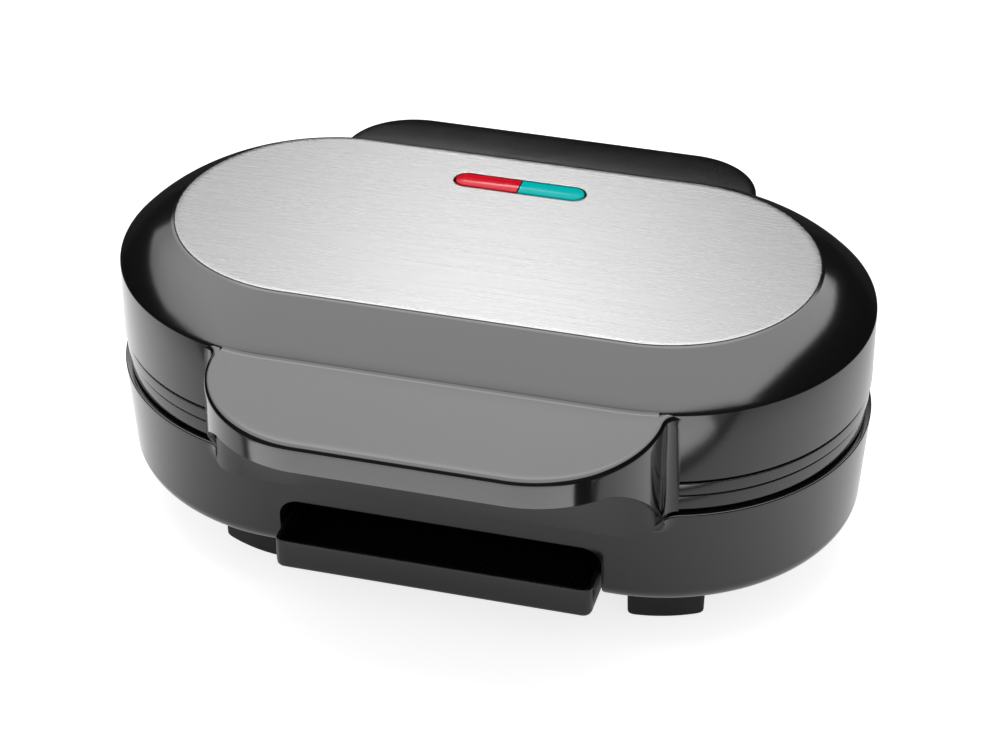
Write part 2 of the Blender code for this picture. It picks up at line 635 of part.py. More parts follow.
def make_base_shell():
    inside = base_inside_profile()
    low_lip = [(COVER_R + GAP - COVER_LIP, inside[0][1]), (COVER_R + GAP - COVER_LIP, COVER_TOP_Z + GAP),
               (COVER_R + GAP, COVER_TOP_Z + GAP), (COVER_R + GAP, FOOT_HEIGHT)]
    seat_z = LOWER_SLAB_Z - GAP
    rim = [(SEAT_WALL_R, BASE_RIM_Z), (SEAT_WALL_R, seat_z), (PLATE_SEAT_R, seat_z),
           (PLATE_SEAT_R, seat_z - SEAT_THICK)]
    inner_down = rim + list(reversed(inside))
    profile = base_outside_profile() + inner_down + low_lip
    clean = [profile[0]]
    for point in profile[1:]:
        if math.dist(point, clean[-1]) > GAP / 2:
            clean.append(point)
    shell = loft("base_shell", [at_height(stadium(r), z) for r, z in clean], GLOSS_BLACK, closed=True)

    chin = prism("chin_form", chin_plan(0.0), BASE_RIM_Z - CHIN_HEIGHT, BASE_RIM_Z - RIM_EDGE)
    below = BASE_RIM_Z - CHIN_HEIGHT - OVERRUN
    under = [(-CHIN_REACH - OVERRUN, below), (-CHIN_FOOT_REACH, below),
             (-CHIN_FOOT_REACH, BASE_RIM_Z - CHIN_HEIGHT), (-CHIN_REACH, BASE_RIM_Z - CHIN_FACE),
             (-CHIN_REACH - OVERRUN, BASE_RIM_Z - CHIN_FACE)]
    cut(chin, bar("chin_under_cut", under, -CHIN_WIDE, CHIN_WIDE))
    join(shell, chin)

    wall_r = BASE_BEND_R - WALL / 2
    for i, (x, y) in enumerate(foot_screw_places()):
        post = end_lug("post_%d" % i, x, y, POST_R, COVER_TOP_Z + GAP, POST_TOP_Z, POST_RIB_LOW_R, wall_r)
        join(shell, *post)
    for i, (x, y) in enumerate(BOSS_PLACES):
        top = LOWER_REFLECTOR_Z - GAP
        join(shell, *end_lug("shelf_%d" % i, x, y, LUG_R, top - LUG_THICK, top, wall_r, wall_r))
    ear_root = [(wall_r, EAR_ROOT_HIGH_Z), (wall_r, EAR_ROOT_LOW_Z)]
    ear_shift = (HINGE_LUG_WIDTH + HINGE_EAR_WIDTH) / 2 + HINGE_SIDE_GAP
    for side in (-1, 1):
        for i, shift in enumerate((-ear_shift, ear_shift)):
            middle = HINGE_LUG_MIDDLE + shift
            join(shell, hinge_ear("ear_%d_%d" % (side, i), side, middle, HINGE_EAR_WIDTH, ear_root))
        cut(shell, pin_hole("ear_bore_%d" % side, side))

    low, high = FOOT_HEIGHT - OVERRUN, SLOT_TOP_Z
    flare_x = SLOT_HALF_WIDTH + SLOT_FLARE_R
    half = [(flare_x, low), (flare_x, FOOT_HEIGHT)]
    half += arc((flare_x, FOOT_HEIGHT + SLOT_FLARE_R), SLOT_FLARE_R, 270, 180, CORNER_STEPS)[1:]
    half += arc((SLOT_HALF_WIDTH - SLOT_CORNER_R, high - SLOT_CORNER_R), SLOT_CORNER_R, 0, 90, CORNER_STEPS)
    outline = half + [(-x, z) for x, z in reversed(half)]
    slot = beam("tray_slot_cut", outline, -CHIN_REACH, -(COVER_R - COVER_LIP - OVERRUN))
    cord = beam("cord_hole_cut", arc((0, BUSH_Z), BUSH_R + GAP, 0, 360, ROUND_STEPS)[:-1],
                BASE_BEND_R - WALL - OVERRUN, BASE_RIM_R + OVERRUN)
    screw_r = SCREW_R + GAP
    posts = rods("post_bores", foot_screw_places(), screw_r, FOOT_HEIGHT, POST_TOP_Z - WALL)
    shelves = rods("shelf_bores", BOSS_PLACES, screw_r, LOWER_REFLECTOR_Z - LUG_THICK - OVERRUN,
                   LOWER_REFLECTOR_Z + OVERRUN)
    cut(shell, slot, cord, posts, shelves)


def make_bottom_cover():
    cover = prism("bottom_cover", stadium(COVER_R), FOOT_HEIGHT, COVER_TOP_Z, MATT_BLACK)
    low, high = FOOT_HEIGHT - OVERRUN, COVER_TOP_Z + OVERRUN
    cut(cover, rods("cover_bores", foot_screw_places(), SCREW_R + GAP, low, high))
    vent_r = VENT_WIDTH / 2
    for i in range(VENT_COUNT):
        for side in (-1, 1):
            slot = stadium(vent_r, VENT_LENGTH / 2 - vent_r, CORNER_STEPS)
            plan = [(x + side * VENT_X, y + VENT_NEAR + i * VENT_PITCH) for x, y in slot]
            cut(cover, prism("vent_cut_%d_%d" % (i, side), plan, low, high))


def housing_profile(wall):
    """Side view of the tray housing, from its mouth behind the slot to its back, drawn in by wall."""
    low = COVER_TOP_Z + GAP
    return [(-HOUSING_FRONT, low), (HOUSING_BACK - wall, low), (HOUSING_BACK - wall, HOUSING_TOP_Z - wall),
            (-HOUSING_BEND_Y, HOUSING_TOP_Z - wall), (-HOUSING_FRONT, HOUSING_MOUTH_Z - wall)]


def make_tray_housing():
    outer = housing_profile(0.0)
    inner = housing_profile(HOUSING_WALL)
    inner = [(y - OVERRUN if y == -HOUSING_FRONT else y, z) for y, z in inner]
    inner = [(y, z - OVERRUN if z == COVER_TOP_Z + GAP else z) for y, z in inner]
    housing = bar("tray_housing", outer, -HOUSING_HALF_WIDTH, HOUSING_HALF_WIDTH, MATT_BLACK)
    side = HOUSING_HALF_WIDTH - HOUSING_WALL
    cut(housing, bar("housing_hollow", inner, -side, side))
    room = loft("housing_room", [at_height(stadium(r), z) for r, z in base_inside_profile(GAP)])
    alter(housing, room, "INTERSECT")
    slip = 2 * GAP
    hole = box("spout_hole", -SPOUT_HALF_WIDTH - slip, SPOUT_HALF_WIDTH + slip, -SPOUT_FAR - slip,
               -SPOUT_NEAR + slip, HOUSING_TOP_Z - WALL, HOUSING_MOUTH_Z + WALL)
    cut(housing, hole)


def make_drip_tray():
    outer = rounded_box_plan(-TRAY_HALF_WIDTH, TRAY_HALF_WIDTH, -TRAY_FRONT, TRAY_BACK, TRAY_CORNER_R)
    inner = rounded_box_plan(-TRAY_HALF_WIDTH + TRAY_WALL, TRAY_HALF_WIDTH - TRAY_WALL,
                             -TRAY_FRONT + TRAY_WALL, TRAY_BACK - TRAY_WALL, TRAY_CORNER_R - TRAY_WALL)
    rings = [at_height(outer, TRAY_FLOOR_Z), at_height(outer, TRAY_TOP_Z), at_height(inner, TRAY_TOP_Z),
             at_height(inner, TRAY_FLOOR_Z + TRAY_WALL)]
    loft("drip_tray", rings, MATT_BLACK, carrier=tray_track)


def cooking_plate(name, face_z, up, well_depth, boss_end_z, carrier):
    """A cast plate with two wells and four screw bosses on its hidden side. up is 1 for the lower plate."""
    slab_z = face_z - up * COOK_THICK
    well_z = face_z - up * (well_depth + COOK_THICK)
    floor_z = face_z - up * well_depth
    spots = [(-WELL_X, 0), (WELL_X, 0)]
    low, high = sorted((face_z, slab_z))
    plate = prism(name, stadium(COOK_R), low, high, COATED, carrier=carrier)
    dive = COOK_THICK / 2
    outer = [(WELL_R + WELL_WALL, slab_z + up * dive), (WELL_R + WELL_WALL - WELL_TAPER, well_z)]
    cups = turned(name + "_cups", spots, outer, steps=WELL_STEPS, carrier=carrier)
    rise = OVERRUN / well_depth
    inner = [(WELL_R + WELL_TAPER * rise, face_z + up * OVERRUN), (WELL_R - WELL_TAPER, floor_z)]
    hollows = turned(name + "_hollows", spots, inner, steps=WELL_STEPS, carrier=carrier)
    bosses = rods(name + "_bosses", BOSS_PLACES, BOSS_R, *sorted((slab_z + up * dive, boss_end_z)),
                  carrier=carrier)
    depth_z = boss_end_z + up * SCREW_DEPTH
    bores = rods(name + "_bores", BOSS_PLACES, SCREW_R + GAP, *sorted((boss_end_z - up * OVERRUN, depth_z)),
                 carrier=carrier)
    join(plate, cups, bosses)
    cut(plate, hollows, bores)
    return plate


def make_lower_cooking_plate():
    boss_end = LOWER_REFLECTOR_Z + SHEET + GAP
    plate = cooking_plate("lower_cooking_plate", BASE_RIM_Z, 1, LOWER_WELL_DEPTH, boss_end, body_middle)
    w = SPOUT_HALF_WIDTH
    spout = box("spout_form", -w, w, -SPOUT_FAR, -SPOUT_NEAR, SPOUT_END_Z, LOWER_SLAB_Z + COOK_THICK / 2)
    s = SPOUT_WALL
    throat = box("spout_throat", -w + s, w - s, -SPOUT_FAR + s, -SPOUT_NEAR - s, SPOUT_END_Z - OVERRUN,
                 BASE_RIM_Z + OVERRUN)
    join(plate, spout)
    middle = (SPOUT_NEAR + SPOUT_FAR) / 2
    for side in (-1, 1):
        start = (0, -middle)
        way = (side * WELL_X - start[0], -start[1])
        far = math.hypot(*way)
        ux, uy = way[0] / far, way[1] / far
        end = far - WELL_R + WELL_TAPER / 2
        vx, vy = -uy * GROOVE_WIDTH / 2, ux * GROOVE_WIDTH / 2
        plan = [(start[0] - vx, start[1] - vy), (start[0] + ux * end - vx, start[1] + uy * end - vy),
                (start[0] + ux * end + vx, start[1] + uy * end + vy), (start[0] + vx, start[1] + vy)]
        if side < 0:
            plan.reverse()
        groove = prism("groove_cut_%d" % side, plan, BASE_RIM_Z - GROOVE_DEPTH, BASE_RIM_Z + OVERRUN)
        cut(plate, groove)
    cut(plate, throat)


def element_route(z):
    """Centre line of a heating loop that passes under both wells, with both ends turned to the back."""
    ends = ELEMENT_END_Y - ELEMENT_LOOP_R - ELEMENT_BEND_R
    bend = arc((ELEMENT_END_X + ELEMENT_BEND_R, ELEMENT_LOOP_R + ELEMENT_BEND_R), ELEMENT_BEND_R, 180, 270,
               CORNER_STEPS)
    half = [(ELEMENT_END_X, ELEMENT_LOOP_R + ELEMENT_BEND_R + ends)] + bend
    half += arc((ELEMENT_HALF_STRAIGHT, 0), ELEMENT_LOOP_R, 90, -90, END_STEPS // 2)
    whole = half + [(-x, y) for x, y in reversed(half)]
    return [(x, y, z) for x, y in whole]


def reflector(name, flat_z, up, carrier):
    """A pressed sheet dish behind a heating loop. up is 1 where its rim turns up."""
    far_z = flat_z + up * REFLECTOR_RIM
    sheet_z = flat_z + up * SHEET
    outer, inner = stadium(REFLECTOR_R), stadium(REFLECTOR_R - SHEET)
    rings = [at_height(outer, flat_z), at_height(outer, far_z), at_height(inner, far_z),
             at_height(inner, sheet_z)]
    dish = loft(name, rings, SHEET_METAL, carrier=carrier)
    low, high = sorted((flat_z - up * OVERRUN, far_z + up * OVERRUN))
    w = REFLECTOR_NOTCH_HALF_WIDTH
    far = REFLECTOR_R + OVERRUN
    notch = box(name + "_notch", -w, w, REFLECTOR_NOTCH_NEAR, far, low, high, carrier=carrier)
    bores = rods(name + "_bores", BOSS_PLACES, SCREW_R + GAP, low, high, carrier=carrier)
    cut(dish, notch, bores)
    return dish


def make_lower_heating():
    z = LOWER_WELL_Z - GAP - ELEMENT_R
    tube("lower_heating_element", element_route(z), ELEMENT_R, ELEMENT_METAL)
    dish = reflector("lower_reflector", LOWER_REFLECTOR_Z, 1, body_middle)
    w = HOUSING_HALF_WIDTH + OVERRUN
    front = box("reflector_front_cut", -w, w, -REFLECTOR_R - OVERRUN, -REFLECTOR_FRONT,
                LOWER_REFLECTOR_Z - OVERRUN, LOWER_REFLECTOR_Z + REFLECTOR_RIM + OVERRUN)
    cut(dish, front)
    head_z = LOWER_REFLECTOR_Z - GAP - LUG_THICK - GAP
    tip_z = LOWER_REFLECTOR_Z + SHEET + SCREW_DEPTH
    profile = [(SCREW_HEAD_R, head_z - SCREW_HEAD), (SCREW_HEAD_R, head_z), (SCREW_R, head_z),
               (SCREW_R, tip_z)]
    for spot in BOSS_PLACES:
        turned("lower_plate_screw_" + corner_of(*spot), [spot], profile, BRIGHT_STEEL, steps=SCREW_STEPS)


def make_upper_heating():
    z = UPPER_WELL_Z + GAP + ELEMENT_R
    tube("upper_heating_element", element_route(z), ELEMENT_R, ELEMENT_METAL, carrier=lid_axis)
    reflector("upper_reflector", UPPER_REFLECTOR_Z, -1, lid_axis)
    head_z = UPPER_REFLECTOR_Z + GAP + LUG_THICK + GAP
    tip_z = UPPER_REFLECTOR_Z - SHEET - SCREW_DEPTH
    profile = [(SCREW_R, tip_z), (SCREW_R, head_z), (SCREW_HEAD_R, head_z),
               (SCREW_HEAD_R, head_z + SCREW_HEAD)]
    for spot in BOSS_PLACES:
        turned("upper_plate_screw_" + corner_of(*spot), [spot], profile, BRIGHT_STEEL, steps=SCREW_STEPS,
               carrier=lid_axis)


def make_controls():
    """Thermostat and thermal fuse on the back of the lower plate, and the terminal block on the floor."""
    top = LOWER_SLAB_Z - GAP
    low = top - THERMOSTAT_THICK
    thermostat = rods("thermostat", [(0, THERMOSTAT_Y)], THERMOSTAT_R, low, top, BRIGHT_STEEL)
    for side in (-1, 1):
        x = side * BLADE_X
        blade = box("blade_form_%d" % side, x - BLADE_WIDTH / 2, x + BLADE_WIDTH / 2,
                    THERMOSTAT_Y - BLADE_THICK / 2, THERMOSTAT_Y + BLADE_THICK / 2, low - BLADE_LENGTH,
                    low + BLADE_THICK)
        join(thermostat, blade)
    fuse_z = LOWER_SLAB_Z - GAP - FUSE_R
    circle = arc((-FUSE_Y, fuse_z), FUSE_R, 0, 360, SCREW_STEPS)[:-1]
    bar("thermal_fuse", circle, -FUSE_LENGTH / 2, FUSE_LENGTH / 2, BRIGHT_STEEL)
    z0 = COVER_TOP_Z + GAP
    box("terminal_block", -BLOCK_HALF_WIDTH, BLOCK_HALF_WIDTH, BLOCK_NEAR, BLOCK_FAR, z0, z0 + BLOCK_HEIGHT,
        CERAMIC)


def make_mains():
    """The bush in the back wall that a cord would pass, and the leads inside the base."""
    slope = (BASE_RIM_R - BASE_BEND_R) / (BASE_RIM_Z - BASE_BEND_Z)
    outside = BASE_BEND_R + slope * (BUSH_Z + BUSH_FLANGE_R - BASE_BEND_Z)
    inside = BASE_BEND_R + slope * (BUSH_Z - BUSH_FLANGE_R - BASE_BEND_Z) - WALL - WALL / 2
    far = outside + GAP + BUSH_FLANGE
    body = [(inside - BUSH_FLANGE, BUSH_FLANGE_R), (inside - GAP, BUSH_FLANGE_R), (inside - GAP, BUSH_R),
            (outside + GAP, BUSH_R), (outside + GAP, BUSH_FLANGE_R), (far, BUSH_FLANGE_R), (far, BUSH_BORE_R),
            (inside - BUSH_FLANGE, BUSH_BORE_R)]
    rings = [[(x, y, z) for x, z in arc((0, BUSH_Z), r, 0, 360, ROUND_STEPS)[:-1]] for y, r in body]
    loft("cord_bush", rings, SOFT_BLACK, closed=True)

    block_top = COVER_TOP_Z + GAP + BLOCK_HEIGHT
    pull = BLOCK_HEIGHT
    mains = []
    for i in (-1, 0, 1):
        start = (i * CORD_CORE_PITCH, inside - BUSH_FLANGE - GAP, BUSH_Z)
        end = (i * LEAD_PITCH, BLOCK_FAR + GAP, block_top - BLOCK_HEIGHT / 2)
        mains.append(eased(start, (0, -2 * pull, -LEAD_SAG), end, (0, -2 * pull, 0)))
    for route, core in zip(mains, ("live", "earth", "neutral")):
        tube("mains_lead_" + core, route, LEAD_R, LEAD_SLEEVE)
    element_z = LOWER_WELL_Z - GAP - ELEMENT_R
    for side in (-1, 1):
        start = (side * ELEMENT_END_X, ELEMENT_END_Y + GAP, element_z)
        end = (side * (BLOCK_HALF_WIDTH - 2 * LEAD_R), BLOCK_FAR + GAP, block_top - BLOCK_HEIGHT / 2)
        route = eased(start, (0, 3 * pull, 0), end, (0, -3 * pull, 0))
        tube("element_lead_" + ("left" if side < 0 else "right"), route, LEAD_R, LEAD_SLEEVE)


def foot_plan(side, face, grow):
    """Outline of one foot: a slice of a ring about the end of the body, grown or shrunk by grow."""
    spread = math.degrees(grow / FOOT_OUTER_R)
    start, end = FOOT_START_DEG - spread, FOOT_END_DEG + spread
    outer = arc((0, 0), FOOT_OUTER_R + grow, -90 + start, -90 + end, FOOT_STEPS)
    inner = arc((0, 0), FOOT_INNER_R - grow, -90 + end, -90 + start, FOOT_STEPS)
    plan = [(side * (HALF_STRAIGHT + x), face * y) for x, y in outer + inner]
    return plan if side * face > 0 else list(reversed(plan))


def make_feet():
    top = FOOT_HEIGHT - GAP
    for face, where in ((1, "front"), (-1, "rear")):
        for side, hand in ((-1, "left"), (1, "right")):
            name = "foot_%s_%s" % (where, hand)
            levels = ((-FOOT_DRAFT - FOOT_EDGE, 0.0), (-FOOT_DRAFT, FOOT_EDGE), (0.0, top))
            foot = loft(name, [at_height(foot_plan(side, face, grow), z) for grow, z in levels], SOFT_BLACK)
            spot = [(x, y) for x, y in foot_screw_places() if x * side > 0 and y * face < 0]
            recess = rods(name + "_recess", spot, FOOT_RECESS_R, -OVERRUN, FOOT_RECESS)
            bore = rods(name + "_bore", spot, SCREW_R + GAP, FOOT_RECESS / 2, FOOT_HEIGHT + OVERRUN)
            cut(foot, recess, bore)
    head_z = FOOT_RECESS - GAP
    tip_z = POST_TOP_Z - WALL - GAP
    profile = [(SCREW_HEAD_R, head_z - SCREW_HEAD), (SCREW_HEAD_R, head_z), (SCREW_R, head_z),
               (SCREW_R, tip_z)]
    for spot in foot_screw_places():
        turned("foot_screw_" + corner_of(*spot), [spot], profile, BRIGHT_STEEL, steps=SCREW_STEPS)


def make_hinge_pins():
    """Two steel pins, each through two ears of the base and a lug of the lid, with a head on its inner end."""
    reach = HINGE_LUG_WIDTH / 2 + HINGE_SIDE_GAP + HINGE_EAR_WIDTH + GAP
    stations = [(-reach - HINGE_PIN_HEAD, HINGE_PIN_HEAD_R), (-reach, HINGE_PIN_HEAD_R),
                (-reach, HINGE_PIN_R), (reach, HINGE_PIN_R)]
    for side, hand in ((-1, "left"), (1, "right")):
        rings = []
        for x, r in stations:
            circle = arc((HINGE_Y, HINGE_Z), r, 0, 360, ROUND_STEPS)[:-1]
            rings.append([(side * (HINGE_LUG_MIDDLE + x), y, z) for y, z in circle])
        loft("hinge_pin_" + hand, rings, BRIGHT_STEEL)


def lid_outside_profile():
    """Outer face of the lid from its rim over the two bands, the wall and the bevel to the plate's lip."""
    band_2, band_1 = LID_RIM_Z + LID_BAND, LID_RIM_Z + 2 * LID_BAND
    lip_r = TOP_PLATE_R + GAP + PLATE_LIP
    lip_z = TOP_Z - PLATE_LIP / 2
    return [(BAND_2_R, LID_RIM_Z), (BAND_2_R, band_2), (BAND_1_R, band_2), (BAND_1_R, band_1),
            (SHOULDER_R, band_1), (SHOULDER_R, SHOULDER_Z - RIM_EDGE), (SHOULDER_R - RIM_EDGE, SHOULDER_Z),
            (lip_r, lip_z), (TOP_PLATE_R + GAP, lip_z), (TOP_PLATE_R + GAP, TOP_Z - PLATE_RECESS)]


def lid_inside_profile():
    """Inner face of the lid from the top down to the rim, with the seat of the upper cooking plate."""
    seat_z = UPPER_SLAB_Z + GAP
    wall_r = BAND_2_R - WALL
    return [(TOP_PLATE_R - WALL / 2, LID_CEILING_Z), (wall_r, SHOULDER_Z - WALL),
            (wall_r, seat_z + SEAT_THICK + WALL), (PLATE_SEAT_R, seat_z + SEAT_THICK), (PLATE_SEAT_R, seat_z),
            (SEAT_WALL_R, seat_z), (SEAT_WALL_R, LID_RIM_Z)]


def handle_top_ring(plan, drop):
    """The plan laid on the handle's gently sloping top face, lowered by drop."""
    rise = (HANDLE_ROOT_Z - HANDLE_FRONT_Z) / (HANDLE_REACH - SHOULDER_R)
    return [(x, y, HANDLE_FRONT_Z + rise * (y + HANDLE_REACH) - drop) for x, y in plan]


def make_lid_shell():
    outside, inside = lid_outside_profile(), lid_inside_profile()
    bm = bmesh.new()
    outer_rows = [[bm.verts.new(p) for p in at_height(stadium(r), z)] for r, z in outside]
    inner_rows = [[bm.verts.new(p) for p in at_height(stadium(r), z)] for r, z in inside]
    pairs = list(zip(outer_rows, outer_rows[1:])) + list(zip(inner_rows, inner_rows[1:]))
    pairs.append((inner_rows[-1], outer_rows[0]))
    for low, high in pairs:
        for i in range(len(low)):
            j = (i + 1) % len(low)
            bm.faces.new((low[i], low[j], high[j], high[i]))
    bm.faces.new(outer_rows[-1])
    bm.faces.new(reversed(inner_rows[0]))
    shell = finish("lid_shell", bm, GLOSS_BLACK, carrier=lid_axis)

    root = SEAT_WALL_R + WALL / 2
    plan = ledge_plan(HANDLE_HALF_WIDTH, HANDLE_REACH, HANDLE_CORNER_R, HANDLE_FILLET_R, root)
    skirt = loft("handle_form", [at_height(plan, LID_RIM_Z), handle_top_ring(plan, 0.0)], carrier=lid_axis)
    wide = HANDLE_HALF_WIDTH + HANDLE_FILLET_R + OVERRUN
    below = [(-HANDLE_REACH - OVERRUN, LID_RIM_Z - OVERRUN), (-HANDLE_ROOT_REACH, LID_RIM_Z - OVERRUN),
             (-HANDLE_ROOT_REACH, LID_RIM_Z), (-HANDLE_KNEE, HANDLE_UNDER_Z),
             (-HANDLE_REACH - OVERRUN, HANDLE_UNDER_Z)]
    cut(skirt, bar("handle_under_cut", below, -wide, wide, carrier=lid_axis))
    ledge = ledge_plan(LEDGE_HALF_WIDTH, LEDGE_REACH, LEDGE_CORNER_R, HANDLE_FILLET_R, root, facing=1)
    ledge_under = LEDGE_TOP_Z - LEDGE_LIP
    rear = prism("ledge_form", ledge, ledge_under, LEDGE_TOP_Z, carrier=lid_axis)
    join(shell, skirt, rear)

    back = SHOULDER_R + WALL
    inner_plan = ledge_plan(HANDLE_HALF_WIDTH - WALL, HANDLE_REACH - WALL, HANDLE_CORNER_R - WALL,
                            HANDLE_FILLET_R, root)
    inner_plan = clipped_plan(inner_plan, back, HANDLE_HALF_WIDTH - WALL)
    rings = [at_height(inner_plan, LID_RIM_Z - OVERRUN), handle_top_ring(inner_plan, WALL)]
    hollow = loft("handle_hollow", rings, carrier=lid_axis)
    rear_plan = ledge_plan(LEDGE_HALF_WIDTH - WALL, LEDGE_REACH - WALL, LEDGE_CORNER_R - WALL,
                           HANDLE_FILLET_R, root, facing=1)
    rear_plan = clipped_plan(rear_plan, back, LEDGE_HALF_WIDTH - WALL)
    ledge_hollow = prism("ledge_hollow", rear_plan, ledge_under - OVERRUN, LEDGE_TOP_Z - WALL,
                         carrier=lid_axis)
    cut(shell, hollow, ledge_hollow)

    screw_spots = [(-HANDLE_SCREW_X, -HANDLE_SCREW_Y), (HANDLE_SCREW_X, -HANDLE_SCREW_Y)]
    cover_top = HANDLE_UNDER_Z + HANDLE_COVER_INSET + HANDLE_COVER_THICK
    bosses = rods("handle_bosses", screw_spots, HANDLE_BOSS_R, cover_top + GAP, HANDLE_FRONT_Z - WALL / 2,
                  carrier=lid_axis)
    join(shell, bosses)
    cut(shell, rods("handle_boss_bores", screw_spots, HANDLE_SCREW_R + GAP, cover_top - GAP,
                    HANDLE_FRONT_Z - WALL, carrier=lid_axis))

    wall_r = SEAT_WALL_R + WALL / 2
    for i, (x, y) in enumerate(BOSS_PLACES):
        low = UPPER_REFLECTOR_Z + GAP
        join(shell, *end_lug("lid_shelf_%d" % i, x, y, LUG_R, low, low + LUG_THICK, wall_r, wall_r, lid_axis))
    lug_top = LEDGE_TOP_Z - WALL / 2
    lug_root = [(back - WALL, lug_top), (back - WALL + LUG_ROOT_DEPTH, lug_top)]
    for side in (-1, 1):
        lug = hinge_ear("lug_form_%d" % side, side, HINGE_LUG_MIDDLE, HINGE_LUG_WIDTH, lug_root)
        bore = pin_hole("lug_bore_%d" % side, side)
        for guide_piece in (lug, bore):
            place(guide_piece, lid_axis)
        join(shell, lug)
        cut(shell, bore)
    window = lens_window("shell_window", GAP, LID_CEILING_Z - OVERRUN, TOP_Z + OVERRUN)
    shelf_bores = rods("lid_shelf_bores", BOSS_PLACES, SCREW_R + GAP, UPPER_REFLECTOR_Z - OVERRUN,
                       UPPER_REFLECTOR_Z + LUG_THICK + OVERRUN, carrier=lid_axis)
    cut(shell, window, shelf_bores)


def make_handle_underside():
    """Lower cover of the hollow handle: flat behind the lip, then sloping down, with a solid heel."""
    low = HANDLE_UNDER_Z + HANDLE_COVER_INSET
    thick = HANDLE_COVER_THICK
    slim = WALL + GAP
    back = SHOULDER_R + WALL + GAP
    plan = ledge_plan(HANDLE_HALF_WIDTH - slim, HANDLE_REACH - slim, HANDLE_CORNER_R - slim,
                      HANDLE_FILLET_R, SHOULDER_R)
    plan = clipped_plan(plan, back, HANDLE_HALF_WIDTH - slim)
    fall = (HANDLE_UNDER_Z - LID_RIM_Z) / (HANDLE_KNEE - HANDLE_ROOT_REACH)
    end = back - OVERRUN
    end_z = low - fall * (HANDLE_KNEE - end)
    profile = [(-HANDLE_REACH, low), (-HANDLE_KNEE, low), (-end, end_z), (-end, end_z + thick + thick / 2),
               (-HANDLE_KNEE, low + thick), (-HANDLE_REACH, low + thick)]
    wide = HANDLE_HALF_WIDTH
    cover = bar("handle_underside", profile, -wide, wide, MATT_BLACK, carrier=lid_axis)
    outline = prism("handle_underside_outline", plan, LID_RIM_Z - OVERRUN, HANDLE_FRONT_Z, carrier=lid_axis)
    alter(cover, outline, "INTERSECT")
    heel_slim = slim + 2 * GAP
    heel_plan = clipped_plan(chin_plan(heel_slim), back + GAP, HANDLE_HALF_WIDTH - heel_slim)
    heel = prism("handle_heel", heel_plan, LID_RIM_Z, HANDLE_UNDER_Z, carrier=lid_axis)
    front_z = low - fall * (HANDLE_KNEE - CHIN_REACH) + thick / 2
    above = [(-CHIN_REACH, front_z), (-end, end_z + thick / 2), (-end, HANDLE_FRONT_Z),
             (-CHIN_REACH, HANDLE_FRONT_Z)]
    cut(heel, bar("handle_heel_cut", above, -wide, wide, carrier=lid_axis))
    join(cover, heel)
    spots = [(-HANDLE_SCREW_X, -HANDLE_SCREW_Y), (HANDLE_SCREW_X, -HANDLE_SCREW_Y)]
    seat = low + HANDLE_SCREW_HEAD + GAP
    head_hole, shank_hole = HANDLE_SCREW_HEAD_R + GAP, HANDLE_SCREW_R + GAP
    holes = [(head_hole, low - OVERRUN), (head_hole, seat), (shank_hole, seat),
             (shank_hole, low + thick + OVERRUN)]
    cut(cover, turned("handle_cover_bores", spots, holes, carrier=lid_axis))
    profile = [(HANDLE_SCREW_HEAD_R, low), (HANDLE_SCREW_HEAD_R, seat - GAP), (HANDLE_SCREW_R, seat - GAP),
               (HANDLE_SCREW_R, HANDLE_FRONT_Z - WALL - GAP)]
    for spot, hand in zip(spots, ("left", "right")):
        turned("handle_screw_" + hand, [spot], profile, BRIGHT_STEEL, steps=SCREW_STEPS, carrier=lid_axis)


def lens_window(name, grow, z0, z1, *settings, **named):
    """A slot with round ends about the middle of the indicator lenses, grown by grow."""
    straight = LENS_HALF_LENGTH - LENS_HALF_WIDTH
    plan = [(x, y + LENS_Y) for x, y in stadium(LENS_HALF_WIDTH + grow, straight, 2 * CORNER_STEPS)]
    return prism(name, plan, z0, z1, *settings, carrier=lid_axis, **named)


def make_top_plate():
    low = TOP_Z - PLATE_RECESS + GAP
    edge = RIM_EDGE / 2
    rings = [at_height(stadium(TOP_PLATE_R), low), at_height(stadium(TOP_PLATE_R), TOP_Z - edge),
             at_height(stadium(TOP_PLATE_R - edge), TOP_Z)]
    plate = loft("top_plate", rings, STEEL, carrier=lid_axis)
    cut(plate, lens_window("plate_window", GAP, low - OVERRUN, TOP_Z + OVERRUN))


def make_lenses():
    """Two half lenses in one slot, each with a flange under the lid's top."""
    flange_top = LID_CEILING_Z - GAP
    for side, name, look in ((-1, "lens_red", RED_LENS), (1, "lens_green", GREEN_LENS)):
        lens = lens_window(name, -GAP / 2, flange_top - LENS_FLANGE_THICK, TOP_Z + LENS_RISE, look)
        flange = lens_window(name + "_flange", LENS_FLANGE, flange_top - LENS_FLANGE_THICK, flange_top)
        join(lens, flange)
        far = LENS_HALF_LENGTH + LENS_FLANGE + OVERRUN
        wide = LENS_HALF_WIDTH + LENS_FLANGE + OVERRUN
        x0, x1 = sorted((-side * far, side * GAP / 2))
        other = box(name + "_other_half", x0, x1, LENS_Y - wide, LENS_Y + wide,
                    LID_CEILING_Z - WALL - OVERRUN, TOP_Z + OVERRUN, carrier=lid_axis)
        cut(lens, other)


